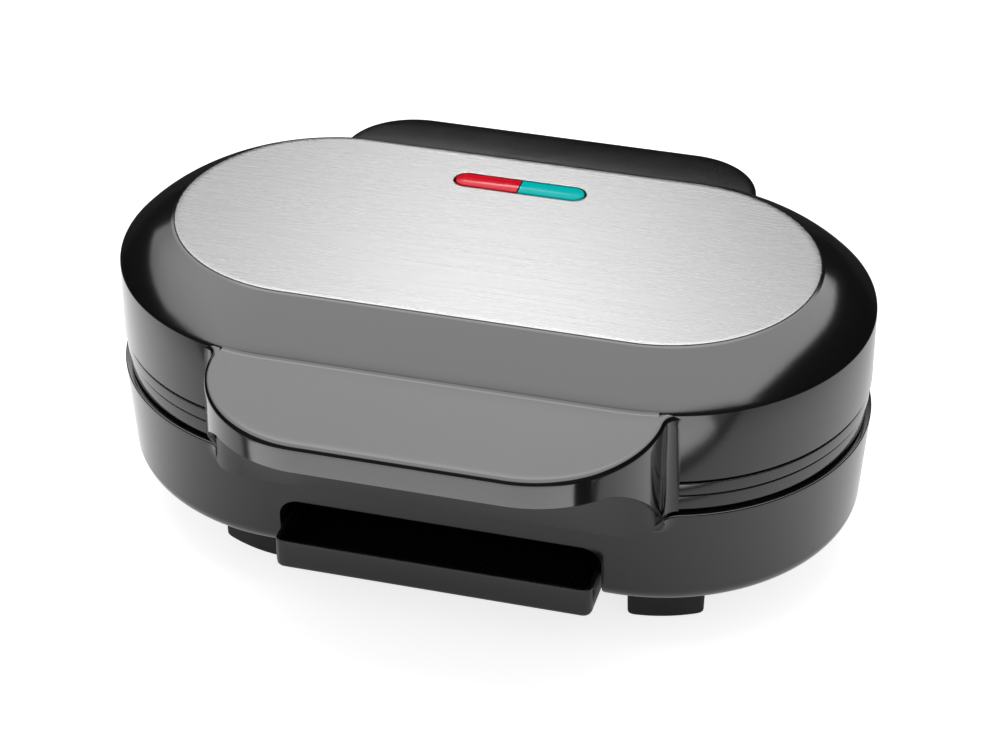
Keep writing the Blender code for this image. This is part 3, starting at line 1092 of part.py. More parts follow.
def make_lamps():
    """The box under the lenses that holds one small lamp behind each."""
    top = LID_CEILING_Z - GAP - LENS_FLANGE_THICK - GAP
    low = top - LAMP_BOX_HEIGHT
    half_x, half_y, wall = LAMP_BOX_HALF_LENGTH, LAMP_BOX_HALF_WIDTH, LAMP_BOX_WALL
    holder = box("lamp_housing", -half_x, half_x, LENS_Y - half_y, LENS_Y + half_y, low, top, LAMP_WHITE,
                 carrier=lid_axis)
    for side in (-1, 1):
        x0, x1 = sorted((side * wall / 2, side * (half_x - wall)))
        room = box("lamp_room_%d" % side, x0, x1, LENS_Y - half_y + wall, LENS_Y + half_y - wall, low + wall,
                   top + OVERRUN, carrier=lid_axis)
        cut(holder, room)
        x0, x1 = sorted((side * (half_x - wall / 2), side * (half_x + LAMP_BOX_TAB)))
        tab = box("lamp_tab_%d" % side, x0, x1, LENS_Y - half_y / 2, LENS_Y + half_y / 2, low + wall,
                  LID_CEILING_Z - GAP, carrier=lid_axis)
        join(holder, tab)
        name = "lamp_red" if side < 0 else "lamp_green"
        z0 = low + wall + GAP
        tip_z = z0 + LAMP_LENGTH
        profile = [(LAMP_R, z0)] + [(LAMP_R * wide, tip_z - LAMP_R * down) for wide, down in LAMP_TIP_SHARES]
        turned(name, [(side * LAMP_X, LENS_Y)], profile, LAMP_GLASS, steps=SCREW_STEPS, carrier=lid_axis)
    element_z = UPPER_WELL_Z + GAP + ELEMENT_R
    for side in (-1, 1):
        start = (side * ELEMENT_END_X, ELEMENT_END_Y + GAP, element_z)
        end = (side * LAMP_X, LENS_Y, low - 2 * GAP)
        route = eased(start, (0, 4 * LAMP_BOX_HEIGHT, 0), end, (0, 0, 3 * LAMP_BOX_HEIGHT))
        tube("lamp_lead_" + ("red" if side < 0 else "green"), route, LEAD_R, LEAD_SLEEVE, carrier=lid_axis)


make_base_shell()
make_bottom_cover()
make_tray_housing()
make_drip_tray()
make_lower_cooking_plate()
make_lower_heating()
make_controls()
make_mains()
make_feet()
make_hinge_pins()
make_lid_shell()
make_handle_underside()
make_top_plate()
make_lenses()
make_lamps()
cooking_plate("upper_cooking_plate", UPPER_FACE_Z, -1, UPPER_WELL_DEPTH, UPPER_REFLECTOR_Z - SHEET - GAP,
              lid_axis)
make_upper_heating()
bpy.context.view_layer.update()
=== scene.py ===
"""Looks of a two-patty hamburger grill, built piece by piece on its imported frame.

Metres, +Z up. The handle faces -Y, and the body is an oval: two half circles joined by straight sides.
"""
import math

import bmesh
import bpy
import numpy as np
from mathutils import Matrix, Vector


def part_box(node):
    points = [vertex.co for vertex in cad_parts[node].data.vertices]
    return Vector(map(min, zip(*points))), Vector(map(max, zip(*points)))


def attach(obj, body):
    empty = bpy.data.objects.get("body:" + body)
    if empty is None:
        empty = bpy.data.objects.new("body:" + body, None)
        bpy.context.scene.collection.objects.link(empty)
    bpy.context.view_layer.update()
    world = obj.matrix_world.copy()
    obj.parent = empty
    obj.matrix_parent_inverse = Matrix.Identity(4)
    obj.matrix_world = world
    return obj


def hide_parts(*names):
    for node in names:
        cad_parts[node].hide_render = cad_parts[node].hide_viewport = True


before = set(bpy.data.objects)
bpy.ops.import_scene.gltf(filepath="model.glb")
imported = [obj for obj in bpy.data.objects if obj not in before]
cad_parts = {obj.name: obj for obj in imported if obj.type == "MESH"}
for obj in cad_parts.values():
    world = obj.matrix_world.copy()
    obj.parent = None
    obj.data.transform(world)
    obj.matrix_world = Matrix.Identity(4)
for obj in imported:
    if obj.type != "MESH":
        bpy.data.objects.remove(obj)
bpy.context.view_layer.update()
scene = bpy.context.scene

# Camera
# The grill is seen from its front right corner, from a third of a right angle above the table,
# through a long lens from a good metre away.
plate_low, plate_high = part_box("top_plate")
MIDDLE_Y = (plate_low.y + plate_high.y) / 2
VIEW_TURN = math.radians(15.21)
VIEW_RISE = math.radians(33.02)
VIEW_DISTANCE = 1.25074
AIM_HEIGHT = 0.078
back = Vector((math.sin(VIEW_TURN) * math.cos(VIEW_RISE), -math.cos(VIEW_TURN) * math.cos(VIEW_RISE),
               math.sin(VIEW_RISE)))
lens_data = bpy.data.cameras.new("camera")
lens_data.lens = 113.54
lens_data.sensor_width = 36.0
lens_data.shift_x = 0.0058
lens_data.shift_y = -0.02524
lens_data.clip_start = 0.05
camera = bpy.data.objects.new("camera", lens_data)
camera.location = Vector((0, MIDDLE_Y, AIM_HEIGHT)) + back * VIEW_DISTANCE
camera.rotation_euler = (-back).to_track_quat("-Z", "Y").to_euler()
scene.collection.objects.link(camera)
scene.camera = camera
scene.view_settings.view_transform = "Standard"

# Base housing
# A deep shell moulded in glossy black plastic, widest at its rim, with a rounded foot edge, a lip that
# swells out under the handle and an opening in its front for the drip tray.
base_low, base_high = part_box("base_shell")
RIM_R = 0.0829
RIM_Z = 0.0670
FLOOR_Z = base_low.z
HALF_STRAIGHT = base_high.x - RIM_R
HALF_ROUND = 2 * HALF_STRAIGHT + math.pi * RIM_R
WALL = 0.0025
RIM_EDGE = 0.0006
BEND_R = 0.0803
BEND_Z = FLOOR_Z + 0.0107
FLOOR_R = 0.0640
SEAT_WALL_R = 0.0784
SEAT_R = 0.0755
SEAT_Z = RIM_Z - 0.0033
SEAT_THICK = 0.0020
SLOT_HALF = 0.0640
SLOT_TOP = 0.0470
SLOT_CORNER = 0.0080
SLOT_FLARE = 0.0070
CHIN_HALF = 0.0882
CHIN_REACH = 0.0960
CHIN_CORNER = 0.0160
CHIN_FOOT_Z = 0.0592
CHIN_FACE_Z = 0.0656
CHIN_BEND = 1.2
CHIN_POINTS = 400
FILLET = 0.0070
SPREAD = 0.0160
SPREAD_REACH = 0.0500
INNER_SHARE = 0.9
WELD = 0.000004
SOFT_EDGE = 0.0004
GLOSS_BLACK = (0.0060, 0.0060, 0.0062, 1.0)
CLOUD = (0.3, 0.7)
CLOUD_TONES = (0.88, 1.12)


def oval(q, r, facing=-1):
    """Plan place from the way q round the rim, counted from the middle of the front, and the distance r
    from the spine: along the straight it is (q, r), and round the ends r turns about the end's centre."""
    way = np.abs(q)
    turn = np.clip((way - HALF_STRAIGHT) / RIM_R, 0, np.pi)
    past = np.clip(way - HALF_STRAIGHT - np.pi * RIM_R, 0, HALF_STRAIGHT)
    x = np.sign(q) * (np.minimum(way, HALF_STRAIGHT) - past + r * np.sin(turn))
    return x, MIDDLE_Y + facing * r * np.cos(turn)


def unrolled(x, out):
    """The way round and the distance from the spine of a place at x, and out from the long axis."""
    beyond = np.maximum(np.abs(x) - HALF_STRAIGHT, 0)
    turn = np.arctan2(beyond, out)
    return np.sign(x) * (np.minimum(np.abs(x), HALF_STRAIGHT) + RIM_R * turn), np.hypot(beyond, out)


def arc(centre, radius, start_deg, end_deg, steps):
    """Points on a circle: centre + radius (cos, sin), the angle running evenly from start to end."""
    turn = np.radians(np.linspace(start_deg, end_deg, steps + 1))
    return np.stack([centre[0] + radius * np.cos(turn), centre[1] + radius * np.sin(turn)], axis=1)


def way_gone(points):
    """How far along a line each of its points lies."""
    return np.concatenate([[0], np.cumsum(np.linalg.norm(np.diff(points, axis=0), axis=1))])


def evenly(points, count, closed=False):
    """The same line with its points spread evenly along its length."""
    if closed:
        points = np.vstack([points, points[:1]])
    gone = way_gone(points)
    stops = np.linspace(0, gone[-1], count, endpoint=not closed)
    return np.stack([np.interp(stops, gone, points[:, k]) for k in range(2)], axis=1)


def eased(share):
    """A share held between 0 and 1, with a gentle start and end: its square times three less twice itself."""
    share = np.clip(share, 0, 1)
    return share ** 2 * (3 - 2 * share)


def filleted(corners, steps=5):
    """A profile through corners (across, up, radius), each one replaced by an arc that touches both legs."""
    corners = np.array(corners, float)
    places, radii = corners[:, :2], corners[:, 2]
    runs = [places[:1]]
    for before, corner, after, radius in zip(places, places[1:], places[2:], radii[1:]):
        a = (before - corner) / np.linalg.norm(before - corner)
        b = (after - corner) / np.linalg.norm(after - corner)
        half = np.arccos(np.clip(a @ b, -1, 1)) / 2
        centre = corner + (a + b) / np.linalg.norm(a + b) * radius / np.sin(half)
        start, end = (corner + leg * radius / np.tan(half) - centre for leg in (a, b))
        sweep = np.pi - 2 * half
        share = np.linspace(0, 1, steps + 1)[:, None]
        turned = np.sin((1 - share) * sweep) * start + np.sin(share * sweep) * end
        runs.append(centre + turned / np.sin(sweep))
    return np.vstack(runs + [places[-1:]])


def ledge_outline(half_width, reach, corner, wall_r, count):
    """Plan of a ledge on a long side, from its right root to its left one: a fillet circle that touches the
    wall's circle and the corner's, the corner, the straight front, and the same mirrored."""
    ax, ay = half_width - corner, reach - corner
    near, far = corner + FILLET, wall_r + FILLET
    across, along = HALF_STRAIGHT - ax, -ay
    apart = math.hypot(across, along)
    share = (near ** 2 - far ** 2 + apart ** 2) / (2 * apart)
    aside = math.sqrt(near ** 2 - share ** 2)
    fx = ax + (across * share - along * aside) / apart
    fy = ay + (along * share + across * aside) / apart
    touch = math.degrees(math.atan2(fy - ay, fx - ax))
    root = math.degrees(math.atan2(-fy, HALF_STRAIGHT - fx)) % 360
    fillet = arc((fx, fy), FILLET, root, touch + 180, 24)
    right = np.vstack([fillet, arc((ax, ay), corner, touch, 90, 48)[1:]])
    return evenly(np.vstack([right, right[::-1] * (-1, 1)]), count)


def piece_of(name, bm, smooth_deg):
    """A piece from welded faces: they are turned outwards, and edges sharper than an angle stay sharp."""
    bmesh.ops.recalc_face_normals(bm, faces=bm.faces)
    mesh = bpy.data.meshes.new(name)
    bm.to_mesh(mesh)
    bm.free()
    mesh.shade_smooth()
    mesh.set_sharp_from_angle(angle=math.radians(smooth_deg))
    piece = bpy.data.objects.new(name, mesh)
    scene.collection.objects.link(piece)
    return piece


def skin(name, grid, around=True, along=False, smooth_deg=35):
    """A piece from a grid of places, rows by columns: four neighbours make a face, and the columns or the
    rows may close on themselves. What stays open is filled, so the skin bounds a solid."""
    rows, columns = grid.shape[:2]
    index = np.arange(rows * columns).reshape(rows, columns)
    index = np.hstack([index, index[:, :1]]) if around else index
    index = np.vstack([index, index[:1]]) if along else index
    quads = np.stack([index[:-1, :-1], index[:-1, 1:], index[1:, 1:], index[1:, :-1]], axis=-1)
    net = bpy.data.meshes.new("net")
    net.from_pydata(grid.reshape(-1, 3), [], quads.reshape(-1, 4))
    bm = bmesh.new()
    bm.from_mesh(net)
    bpy.data.meshes.remove(net)
    bmesh.ops.remove_doubles(bm, verts=bm.verts, dist=WELD)
    bmesh.ops.dissolve_degenerate(bm, edges=bm.edges, dist=WELD / 2)
    bmesh.ops.holes_fill(bm, edges=bm.edges, sides=0)
    return piece_of(name, bm, smooth_deg)


def dressed(piece, finish, body, slot, *stands_for):
    """Gives a piece its material and the body it moves with, and hides the frame's nodes that it stands for.
    The slot is not used.
    """
    piece.data.materials.clear()
    piece.data.materials.append(finish)
    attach(piece, body)
    if stands_for:
        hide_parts(*stands_for)
    return piece


def placed(x, y, z):
    """Three arrays as one array of places."""
    return np.stack(np.broadcast_arrays(x, y, z), axis=-1)


def laid(q, r, z, facing=-1):
    """Places at the way q round the rim, the distance r from the spine and the height z."""
    return placed(*oval(q, r, facing), z)


def soft_edges(piece, width, segments=2, angle_deg=38):
    """Rounds the sharp edges that are left on a piece."""
    bevel = piece.modifiers.new("soft edges", "BEVEL")
    bevel.width = width
    bevel.segments = segments
    bevel.limit_method = "ANGLE"
    bevel.angle_limit = math.radians(angle_deg)
    bevel.miter_outer = "MITER_ARC"
    bevel.harden_normals = True
    return piece


def node(tree, kind, settings=None, **sockets):
    """A shader node with its settings; each socket, named or numbered, is linked or given its value."""
    made = tree.nodes.new("ShaderNode" + kind)
    for key, value in (settings or {}).items():
        setattr(made, key, value)
    for key, value in sockets.items():
        socket = made.inputs[int(key[1:]) if key[1:].isdigit() else key.replace("_", " ")]
        if isinstance(value, bpy.types.NodeSocket):
            tree.links.new(value, socket)
        else:
            socket.default_value = value
    return made


def calc(tree, operation, *values):
    """The result of a Math node, each of its values a link or a plain number."""
    numbered = {"n%d" % place: value for place, value in enumerate(values)}
    return node(tree, "Math", {"operation": operation}, **numbered).outputs[0]


def ramp(tree, value, start, end, low=0.0, high=1.0, kind="LINEAR"):
    """A number that goes from low to high while a value goes from start to end."""
    return node(tree, "MapRange", {"interpolation_type": kind}, Value=value, From_Min=start, From_Max=end,
                To_Min=low, To_Max=high).outputs["Result"]


def noise(tree, place, size, **more):
    """Soft noise between 0 and 1 on a place, size times finer than a metre."""
    return node(tree, "TexNoise", Vector=place, Scale=size, **more).outputs["Fac"]


def scaled(tree, colour, share):
    """A colour made darker or lighter by a share."""
    return node(tree, "VectorMath", {"operation": "SCALE"}, n0=colour, Scale=share).outputs["Vector"]


def effect(name, **defaults):
    """A shader node group with named inputs, which have default values, and the outputs Colour, Roughness
    and Normal. It is returned with what it is given and the place on the piece."""
    tree = bpy.data.node_groups.new(name, "ShaderNodeTree")
    for label, value in defaults.items():
        kind = "NodeSocketColor" if isinstance(value, tuple) else "NodeSocketFloat"
        socket = tree.interface.new_socket(label.replace("_", " "), in_out="INPUT", socket_type=kind)
        socket.default_value = value
    for label, kind in (("Colour", "Color"), ("Roughness", "Float"), ("Normal", "Vector")):
        tree.interface.new_socket(label, in_out="OUTPUT", socket_type="NodeSocket" + kind)
    return tree, tree.nodes.new("NodeGroupInput").outputs, node(tree, "TexCoord").outputs["Object"]


def put_out(tree, colour, roughness, height, depth):
    """Ends a group with its colour, its roughness and the normal of a bump with a height and a depth."""
    bump = node(tree, "Bump", Strength=1.0, Distance=depth, Height=height)
    out = tree.nodes.new("NodeGroupOutput").inputs
    for label, result in (("Colour", colour), ("Roughness", roughness), ("Normal", bump.outputs["Normal"])):
        tree.links.new(result, out[label])
    return tree


def moulded_skin():
    """Smooth moulded plastic: a faint peel in the normal, and soft marks of handling in the roughness."""
    tree, given, place = effect("moulded_skin", Colour=GLOSS_BLACK, Roughness=0.15, Peel_Size=260.0,
                                Peel_Depth=0.00001, Marks=0.05)
    peel = noise(tree, place, given["Peel Size"], Detail=2.0, Roughness=0.45)
    marks = noise(tree, place, size=23.0, Detail=5.0, Roughness=0.62)
    cloud = noise(tree, place, size=7.0, Detail=3.0, Roughness=0.5)
    swing = calc(tree, "MULTIPLY", calc(tree, "SUBTRACT", marks, 0.5), given["Marks"])
    rough = calc(tree, "ADD", swing, given["Roughness"])
    shade = scaled(tree, given["Colour"], ramp(tree, cloud, *CLOUD, *CLOUD_TONES))
    return put_out(tree, shade, rough, peel, given["Peel Depth"])


MOULDED_SKIN = moulded_skin()


def finish_of(name, group, plain=None, **values):
    """A material whose colour, roughness and normal come from a group, with plain values on its shader."""
    material = bpy.data.materials.new(name)
    material.use_nodes = True
    tree = material.node_tree
    shader = tree.nodes["Principled BSDF"]
    look = tree.nodes.new("ShaderNodeGroup")
    look.node_tree = group
    for key, value in values.items():
        look.inputs[key.replace("_", " ")].default_value = value
    for output, socket in (("Colour", "Base Color"), ("Roughness", "Roughness"), ("Normal", "Normal")):
        tree.links.new(look.outputs[output], shader.inputs[socket])
    for key, value in (plain or {}).items():
        shader.inputs[key.replace("_", " ")].default_value = value
    return material


gloss_plastic = finish_of("gloss_black_plastic", MOULDED_SKIN, {"IOR": 1.6}, Colour=GLOSS_BLACK,
                          Roughness=0.13)


def wall_place(s):
    """Radius and height of the base's wall: s from 0 to 1 turns through a quarter of an ellipse from the
    floor edge to the bend, and s from 1 to 2 climbs the tapered wall to the rim."""
    turn = np.clip(s, 0, 1) * np.pi / 2
    climb = np.clip(s - 1, 0, 1)
    r = FLOOR_R + (BEND_R - FLOOR_R) * np.sin(turn) + (RIM_R - BEND_R) * climb
    return r, BEND_Z - (BEND_Z - FLOOR_Z) * np.cos(turn) + (RIM_Z - BEND_Z) * climb


def wall_share(z):
    """The share s of the base's wall at a height, the reverse of wall_place."""
    low = np.arccos(np.clip((BEND_Z - z) / (BEND_Z - FLOOR_Z), -1, 1)) / (np.pi / 2)
    return np.where(z < BEND_Z, low, 1 + (z - BEND_Z) / (RIM_Z - BEND_Z))


def slot_edge():
    """The lower edge of the base's wall from the middle of its front to the middle of its back: over the
    tray's opening, round its corner, down its side, out along the flare, and then along the floor edge. Its
    third part is the way round at the rim, where the lines that start on the slot spread apart."""
    turn_in = SLOT_HALF - SLOT_CORNER
    top = np.stack([np.linspace(0, turn_in, 30), np.full(30, SLOT_TOP)], axis=1)
    corner = arc((turn_in, SLOT_TOP - SLOT_CORNER), SLOT_CORNER, 90, 0, 12)
    flare = arc((SLOT_HALF + SLOT_FLARE, FLOOR_Z + SLOT_FLARE), SLOT_FLARE, 180, 270, 12)
    side = np.linspace(corner[-1], flare[0], 8)
    edge = np.vstack([top, corner[1:], side[1:], flare[1:]])
    s = wall_share(edge[:, 1])
    turn = np.arcsin(np.maximum(edge[:, 0] - HALF_STRAIGHT, 0) / wall_place(s)[0])
    q = np.minimum(edge[:, 0], HALF_STRAIGHT) + RIM_R * turn
    gone = way_gone(edge)
    q_top = np.interp(gone, [0, turn_in, gone[-1]], [0, turn_in, q[-1] + SPREAD])
    rest = np.linspace(q[-1], HALF_ROUND, 140)[1:]
    q_rest = rest + SPREAD * eased(1 - (rest - q[-1]) / SPREAD_REACH)
    s = np.concatenate([s, np.zeros(len(rest))])
    return np.concatenate([q, rest]), s, np.concatenate([q_top, q_rest])


chin_q, chin_r = unrolled(*ledge_outline(CHIN_HALF, CHIN_REACH, CHIN_CORNER, RIM_R, CHIN_POINTS).T)


def chin_swell(q):
    """How far the lip under the handle stands out of the rim's line."""
    inwards = slice(CHIN_POINTS // 2 - 1, None, -1)
    return np.interp(np.abs(q), chin_q[inwards], chin_r[inwards] - RIM_R, right=0)


def base_grid():
    """The base's skin: a ruled net between the slot's edge and the rim, laid on the wall, with the lip as a
    swelling that grows with height; then over the rim, down the seat and back along the inside."""
    q_low, s_low, q_top = slot_edge()
    q_low, q_top = (np.concatenate([-half[:0:-1], half[:-1]]) for half in (q_low, q_top))
    s_low = np.concatenate([s_low[:0:-1], s_low[:-1]])
    s_top = 2 - RIM_EDGE / (RIM_Z - BEND_Z)

    def net(v):
        """The way round and the wall's share at the share v of the way from the slot's edge to the rim."""
        return q_low + (q_top - q_low) * eased(v), s_low + (s_top - s_low) * v

    q, s = net(np.linspace(0, 1, 56)[:, None])
    r, z = wall_place(s)
    rise = np.clip((z - CHIN_FOOT_Z) / (CHIN_FACE_Z - CHIN_FOOT_Z), 0, 1)
    outer = laid(q, r + chin_swell(q) * rise ** CHIN_BEND, z)
    turn = np.linspace(0, np.pi / 2, 6)[1:, None]
    edge_r = wall_place(s_top)[0] + chin_swell(q_top) - RIM_EDGE * (1 - np.cos(turn))
    edge = laid(q_top, edge_r, RIM_Z - RIM_EDGE * (1 - np.sin(turn)))
    seat_r = np.array([SEAT_WALL_R, SEAT_WALL_R, SEAT_R, SEAT_R])[:, None]
    seat_z = np.array([RIM_Z, SEAT_Z, SEAT_Z, SEAT_Z - SEAT_THICK])[:, None]
    q, s = net(np.linspace(INNER_SHARE, 0, 20)[:, None])
    r, z = wall_place(s)
    lean = np.clip(s, 0, 1) * np.pi / 2
    inner = laid(q, r - WALL * np.sin(lean), z + WALL * np.cos(lean))
    r, z = wall_place(s_low)
    foot = laid(q_low, r - WALL, z)[None]
    return np.vstack([outer, edge, laid(q_top, seat_r, seat_z), inner, foot])


base_housing = soft_edges(skin("base_housing", base_grid(), along=True), SOFT_EDGE)
dressed(base_housing, gloss_plastic, "base", "gloss_black", "base_shell")

# Hinge
# At each end two knuckles on the base's back wall hold a lug of the lid between them, with a steel pin
# through all three. The knuckles and the lugs are of one piece with their shells.
pin_low, pin_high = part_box("hinge_pin_right")
HINGE_Z = (pin_low.z + pin_high.z) / 2
HINGE_Y = (pin_low.y + pin_high.y) / 2
KNUCKLE_R = 0.0085
KNUCKLE_EDGE = 0.0006
LUG_MIDDLE = HALF_STRAIGHT - 0.0104
LUG_WIDTH = 0.0134
LUG_PLAY = 0.0006
EAR_WIDTH = 0.0080
EAR_SHIFT = (LUG_WIDTH + EAR_WIDTH) / 2 + LUG_PLAY
EAR_ROOT_Y = MIDDLE_Y + BEND_R - WALL / 2
EAR_ROOTS = ((EAR_ROOT_Y, HINGE_Z - 0.0077), (EAR_ROOT_Y, HINGE_Z - 0.0237))
PIN_R = 0.0020
PIN_HEAD_R = 0.0034
PIN_HEAD = 0.0015
PLATING = (0.56, 0.55, 0.53, 1)
PLATED_SWING = (-0.06, 0.1)


def knuckle(name, x, width, roots):
    """A knuckle drawn out along X: the arc of its boss, and straight lines that touch it from two roots."""
    centre = np.array([HINGE_Y, HINGE_Z])
    ends = []
    for root, side in zip(roots, (1, -1)):
        leg = np.array(root) - centre
        off = side * math.acos(KNUCKLE_R / np.linalg.norm(leg))
        ends.append(math.degrees(math.atan2(leg[1], leg[0]) - off))
    end, start = ends
    start -= 360 * (start > end)
    outline = np.vstack([arc(centre, KNUCKLE_R, start, end, 40), [roots[0]], [roots[1]]])
    across = x + width * np.array([-0.5, 0.5])[:, None]
    return soft_edges(skin(name, placed(across, outline[:, 0], outline[:, 1])), KNUCKLE_EDGE, 3)


def plated_marks():
    """Plated or rolled metal: fine scratches that turn with the noise, and clouds in the roughness."""
    tree, given, place = effect("plated_marks", Colour=PLATING, Roughness=0.3, Scratch_Size=900.0,
                                Scratch_Depth=0.00001, Tarnish=0.15)
    scratch = noise(tree, place, given["Scratch Size"], Detail=3.0, Distortion=1.6)
    cloud = noise(tree, place, size=55.0, Detail=5.0, Roughness=0.6)
    rough = calc(tree, "ADD", ramp(tree, cloud, *CLOUD, *PLATED_SWING), given["Roughness"])
    keep = calc(tree, "SUBTRACT", 1.0, calc(tree, "MULTIPLY", cloud, given["Tarnish"]))
    return put_out(tree, scaled(tree, given["Colour"], keep), rough, scratch, given["Scratch Depth"])


PLATED_MARKS = plated_marks()
plated_steel = finish_of("plated_steel", PLATED_MARKS, {"Metallic": 1.0}, Colour=PLATING, Roughness=0.28)


def spun(name, stations, centre, axis, steps=48, closed=False):
    """A turned piece: a profile of (along, radius) spun about a line through centre along an axis."""
    along, radius = np.array(stations, float).T[:, :, None]
    turn = np.linspace(0, 2 * np.pi, steps, endpoint=False)
    wheel = [radius * np.cos(turn), radius * np.sin(turn)]
    wheel.insert(axis, along + 0 * turn)
    return skin(name, np.stack(wheel, axis=-1) + np.array(centre), along=closed)


for side, hand in ((-1, "left"), (1, "right")):
    for shift, where in ((-EAR_SHIFT, "inner"), (EAR_SHIFT, "outer")):
        ear = knuckle("hinge_ear_%s_%s" % (hand, where), side * (LUG_MIDDLE + shift), EAR_WIDTH, EAR_ROOTS)
        dressed(ear, gloss_plastic, "base", "gloss_black")
    low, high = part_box("hinge_pin_" + hand)
    head, tip = (low.x, high.x) if side > 0 else (high.x, low.x)
    rod = filleted([(head, 0, 0), (head, PIN_HEAD_R, 0.0005), (head + side * PIN_HEAD, PIN_HEAD_R, 0.0003),
                    (head + side * PIN_HEAD, PIN_R, 0.0002), (tip, PIN_R, 0.0004), (tip, 0, 0)])
    pin = spun("pin_" + hand, rod, (0, HINGE_Y, HINGE_Z), 0)
    dressed(pin, plated_steel, "base", "plated_steel", "hinge_pin_" + hand)

# Bottom cover, tray housing and feet
# A flat cover with vents closes the base, a sleeve behind the opening takes the tray, and four slices of
# black rubber, each with its screw in a deep recess, stand under the ends of the body.
FOOT_OUTER = 0.0588
FOOT_INNER = 0.0400
FOOT_START = math.radians(1.3)
FOOT_END = math.radians(32.4)
FOOT_CORNER = 0.0016
FOOT_EDGE = 0.0020
FOOT_DRAFT = 0.0004
FOOT_SCREW_R = 0.0500
FOOT_SCREW_TURN = math.radians(16.0)
FOOT_RECESS_R = 0.0042
FOOT_RECESS = 0.0120
FOOT_BURIED = 0.0003
MATT_BLACK = (0.0160, 0.0160, 0.0170, 1.0)
RUBBER_BLACK = (0.0055, 0.0055, 0.0055, 1.0)
GRAINED_SWING = (-0.05, 0.07)


def grained_skin():
    """Matt plastic or rubber: an even grain, as from a spark-eroded mould, with dull and shiny patches."""
    tree, given, place = effect("grained_skin", Colour=MATT_BLACK, Roughness=0.5, Grain_Size=1500.0,
                                Grain_Depth=0.00006, Dust=0.01)
    grain = node(tree, "TexVoronoi", Vector=place, Scale=given["Grain Size"], Randomness=1.0)
    height = calc(tree, "ADD", grain.outputs["Distance"], noise(tree, place, size=2600.0, Detail=2.0))
    cloud = noise(tree, place, size=31.0, Detail=6.0, Roughness=0.65)
    rough = calc(tree, "ADD", ramp(tree, cloud, *CLOUD, *GRAINED_SWING), given["Roughness"])
    lift = calc(tree, "MULTIPLY", cloud, given["Dust"])
    shade = node(tree, "VectorMath", {"operation": "ADD"}, n0=given["Colour"], n1=lift)
    return put_out(tree, shade.outputs["Vector"], rough, height, given["Grain Depth"])


GRAINED_SKIN = grained_skin()
matt_plastic = finish_of("matt_black_plastic", GRAINED_SKIN, Colour=MATT_BLACK, Roughness=0.42)
rubber = finish_of("black_rubber", GRAINED_SKIN, Colour=RUBBER_BLACK, Roughness=0.62, Grain_Size=900.0,
                   Dust=0.006)


def repaint(finish, *names):
    """A frame's node keeps its shape and takes a finish."""
    for name in names:
        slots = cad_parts[name].data.materials
        slots.clear()
        slots.append(finish)


def rounded_box(half_x, half_y, corner, count):
    """Outline of a rectangle with round corners, about the origin."""
    x, y = half_x - corner, half_y - corner
    quarters = [arc((sx * x, sy * y), corner, start, start + 90, 12)
                for sx, sy, start in ((1, -1, -90), (1, 1, 0), (-1, 1, 90), (-1, -1, 180))]
    return evenly(np.vstack(quarters), count, closed=True)


def drawn_in(outline, inset):
    """A closed anticlockwise outline moved inwards along its normals, once for each inset."""
    way = np.roll(outline, -1, axis=0) - np.roll(outline, 1, axis=0)
    way /= np.linalg.norm(way, axis=1)[:, None]
    normal = np.stack([way[:, 1], -way[:, 0]], axis=1)
    return outline - np.asarray(inset, float)[..., None, None] * normal


def foot(name, side, face):
    """A slice of a ring: a round-cornered rectangle bent about the end's centre, with a round recess whose
    points lie on the rays from the screw to the outline."""
    middle_r = (FOOT_OUTER + FOOT_INNER) / 2
    middle_turn = (FOOT_START + FOOT_END) / 2
    half_turn = (FOOT_END - FOOT_START) / 2
    flat = rounded_box(half_turn * middle_r, (FOOT_OUTER - FOOT_INNER) / 2, FOOT_CORNER, 120)
    stations = filleted([(0, FLOOR_Z - FOOT_BURIED, 0), (FOOT_DRAFT, 0, FOOT_EDGE),
                         (FOOT_DRAFT + 2 * FOOT_EDGE, 0, 0)])
    rings = flat * (1 - stations[:, 0, None, None] / np.abs(flat).max(axis=0))
    r = middle_r + rings[..., 1]
    turn = middle_turn + rings[..., 0] / middle_r
    bent = np.stack([r * np.sin(turn), r * np.cos(turn)], axis=-1)
    screw = FOOT_SCREW_R * np.array([math.sin(FOOT_SCREW_TURN), math.cos(FOOT_SCREW_TURN)])
    ray = bent[-1] - screw
    hole = screw + FOOT_RECESS_R * ray / np.linalg.norm(ray, axis=1)[:, None]
    middle = np.broadcast_to(screw, hole.shape)
    x, y = np.moveaxis(np.stack([middle, *bent, hole, hole, middle]), -1, 0)
    z = np.concatenate([stations[:1, 1], stations[:, 1], [0, FOOT_RECESS, FOOT_RECESS]])[:, None]
    return skin(name, placed(side * (HALF_STRAIGHT + x), MIDDLE_Y + face * y, z))


for face, where in ((-1, "front"), (1, "rear")):
    for side, hand in ((-1, "left"), (1, "right")):
        corner = "%s_%s" % (where, hand)
        piece = foot("rubber_foot_" + corner, side, face)
        dressed(piece, rubber, "base", "black_rubber", "foot_" + corner)
        repaint(plated_steel, "foot_screw_" + corner)
repaint(matt_plastic, "bottom_cover", "tray_housing")

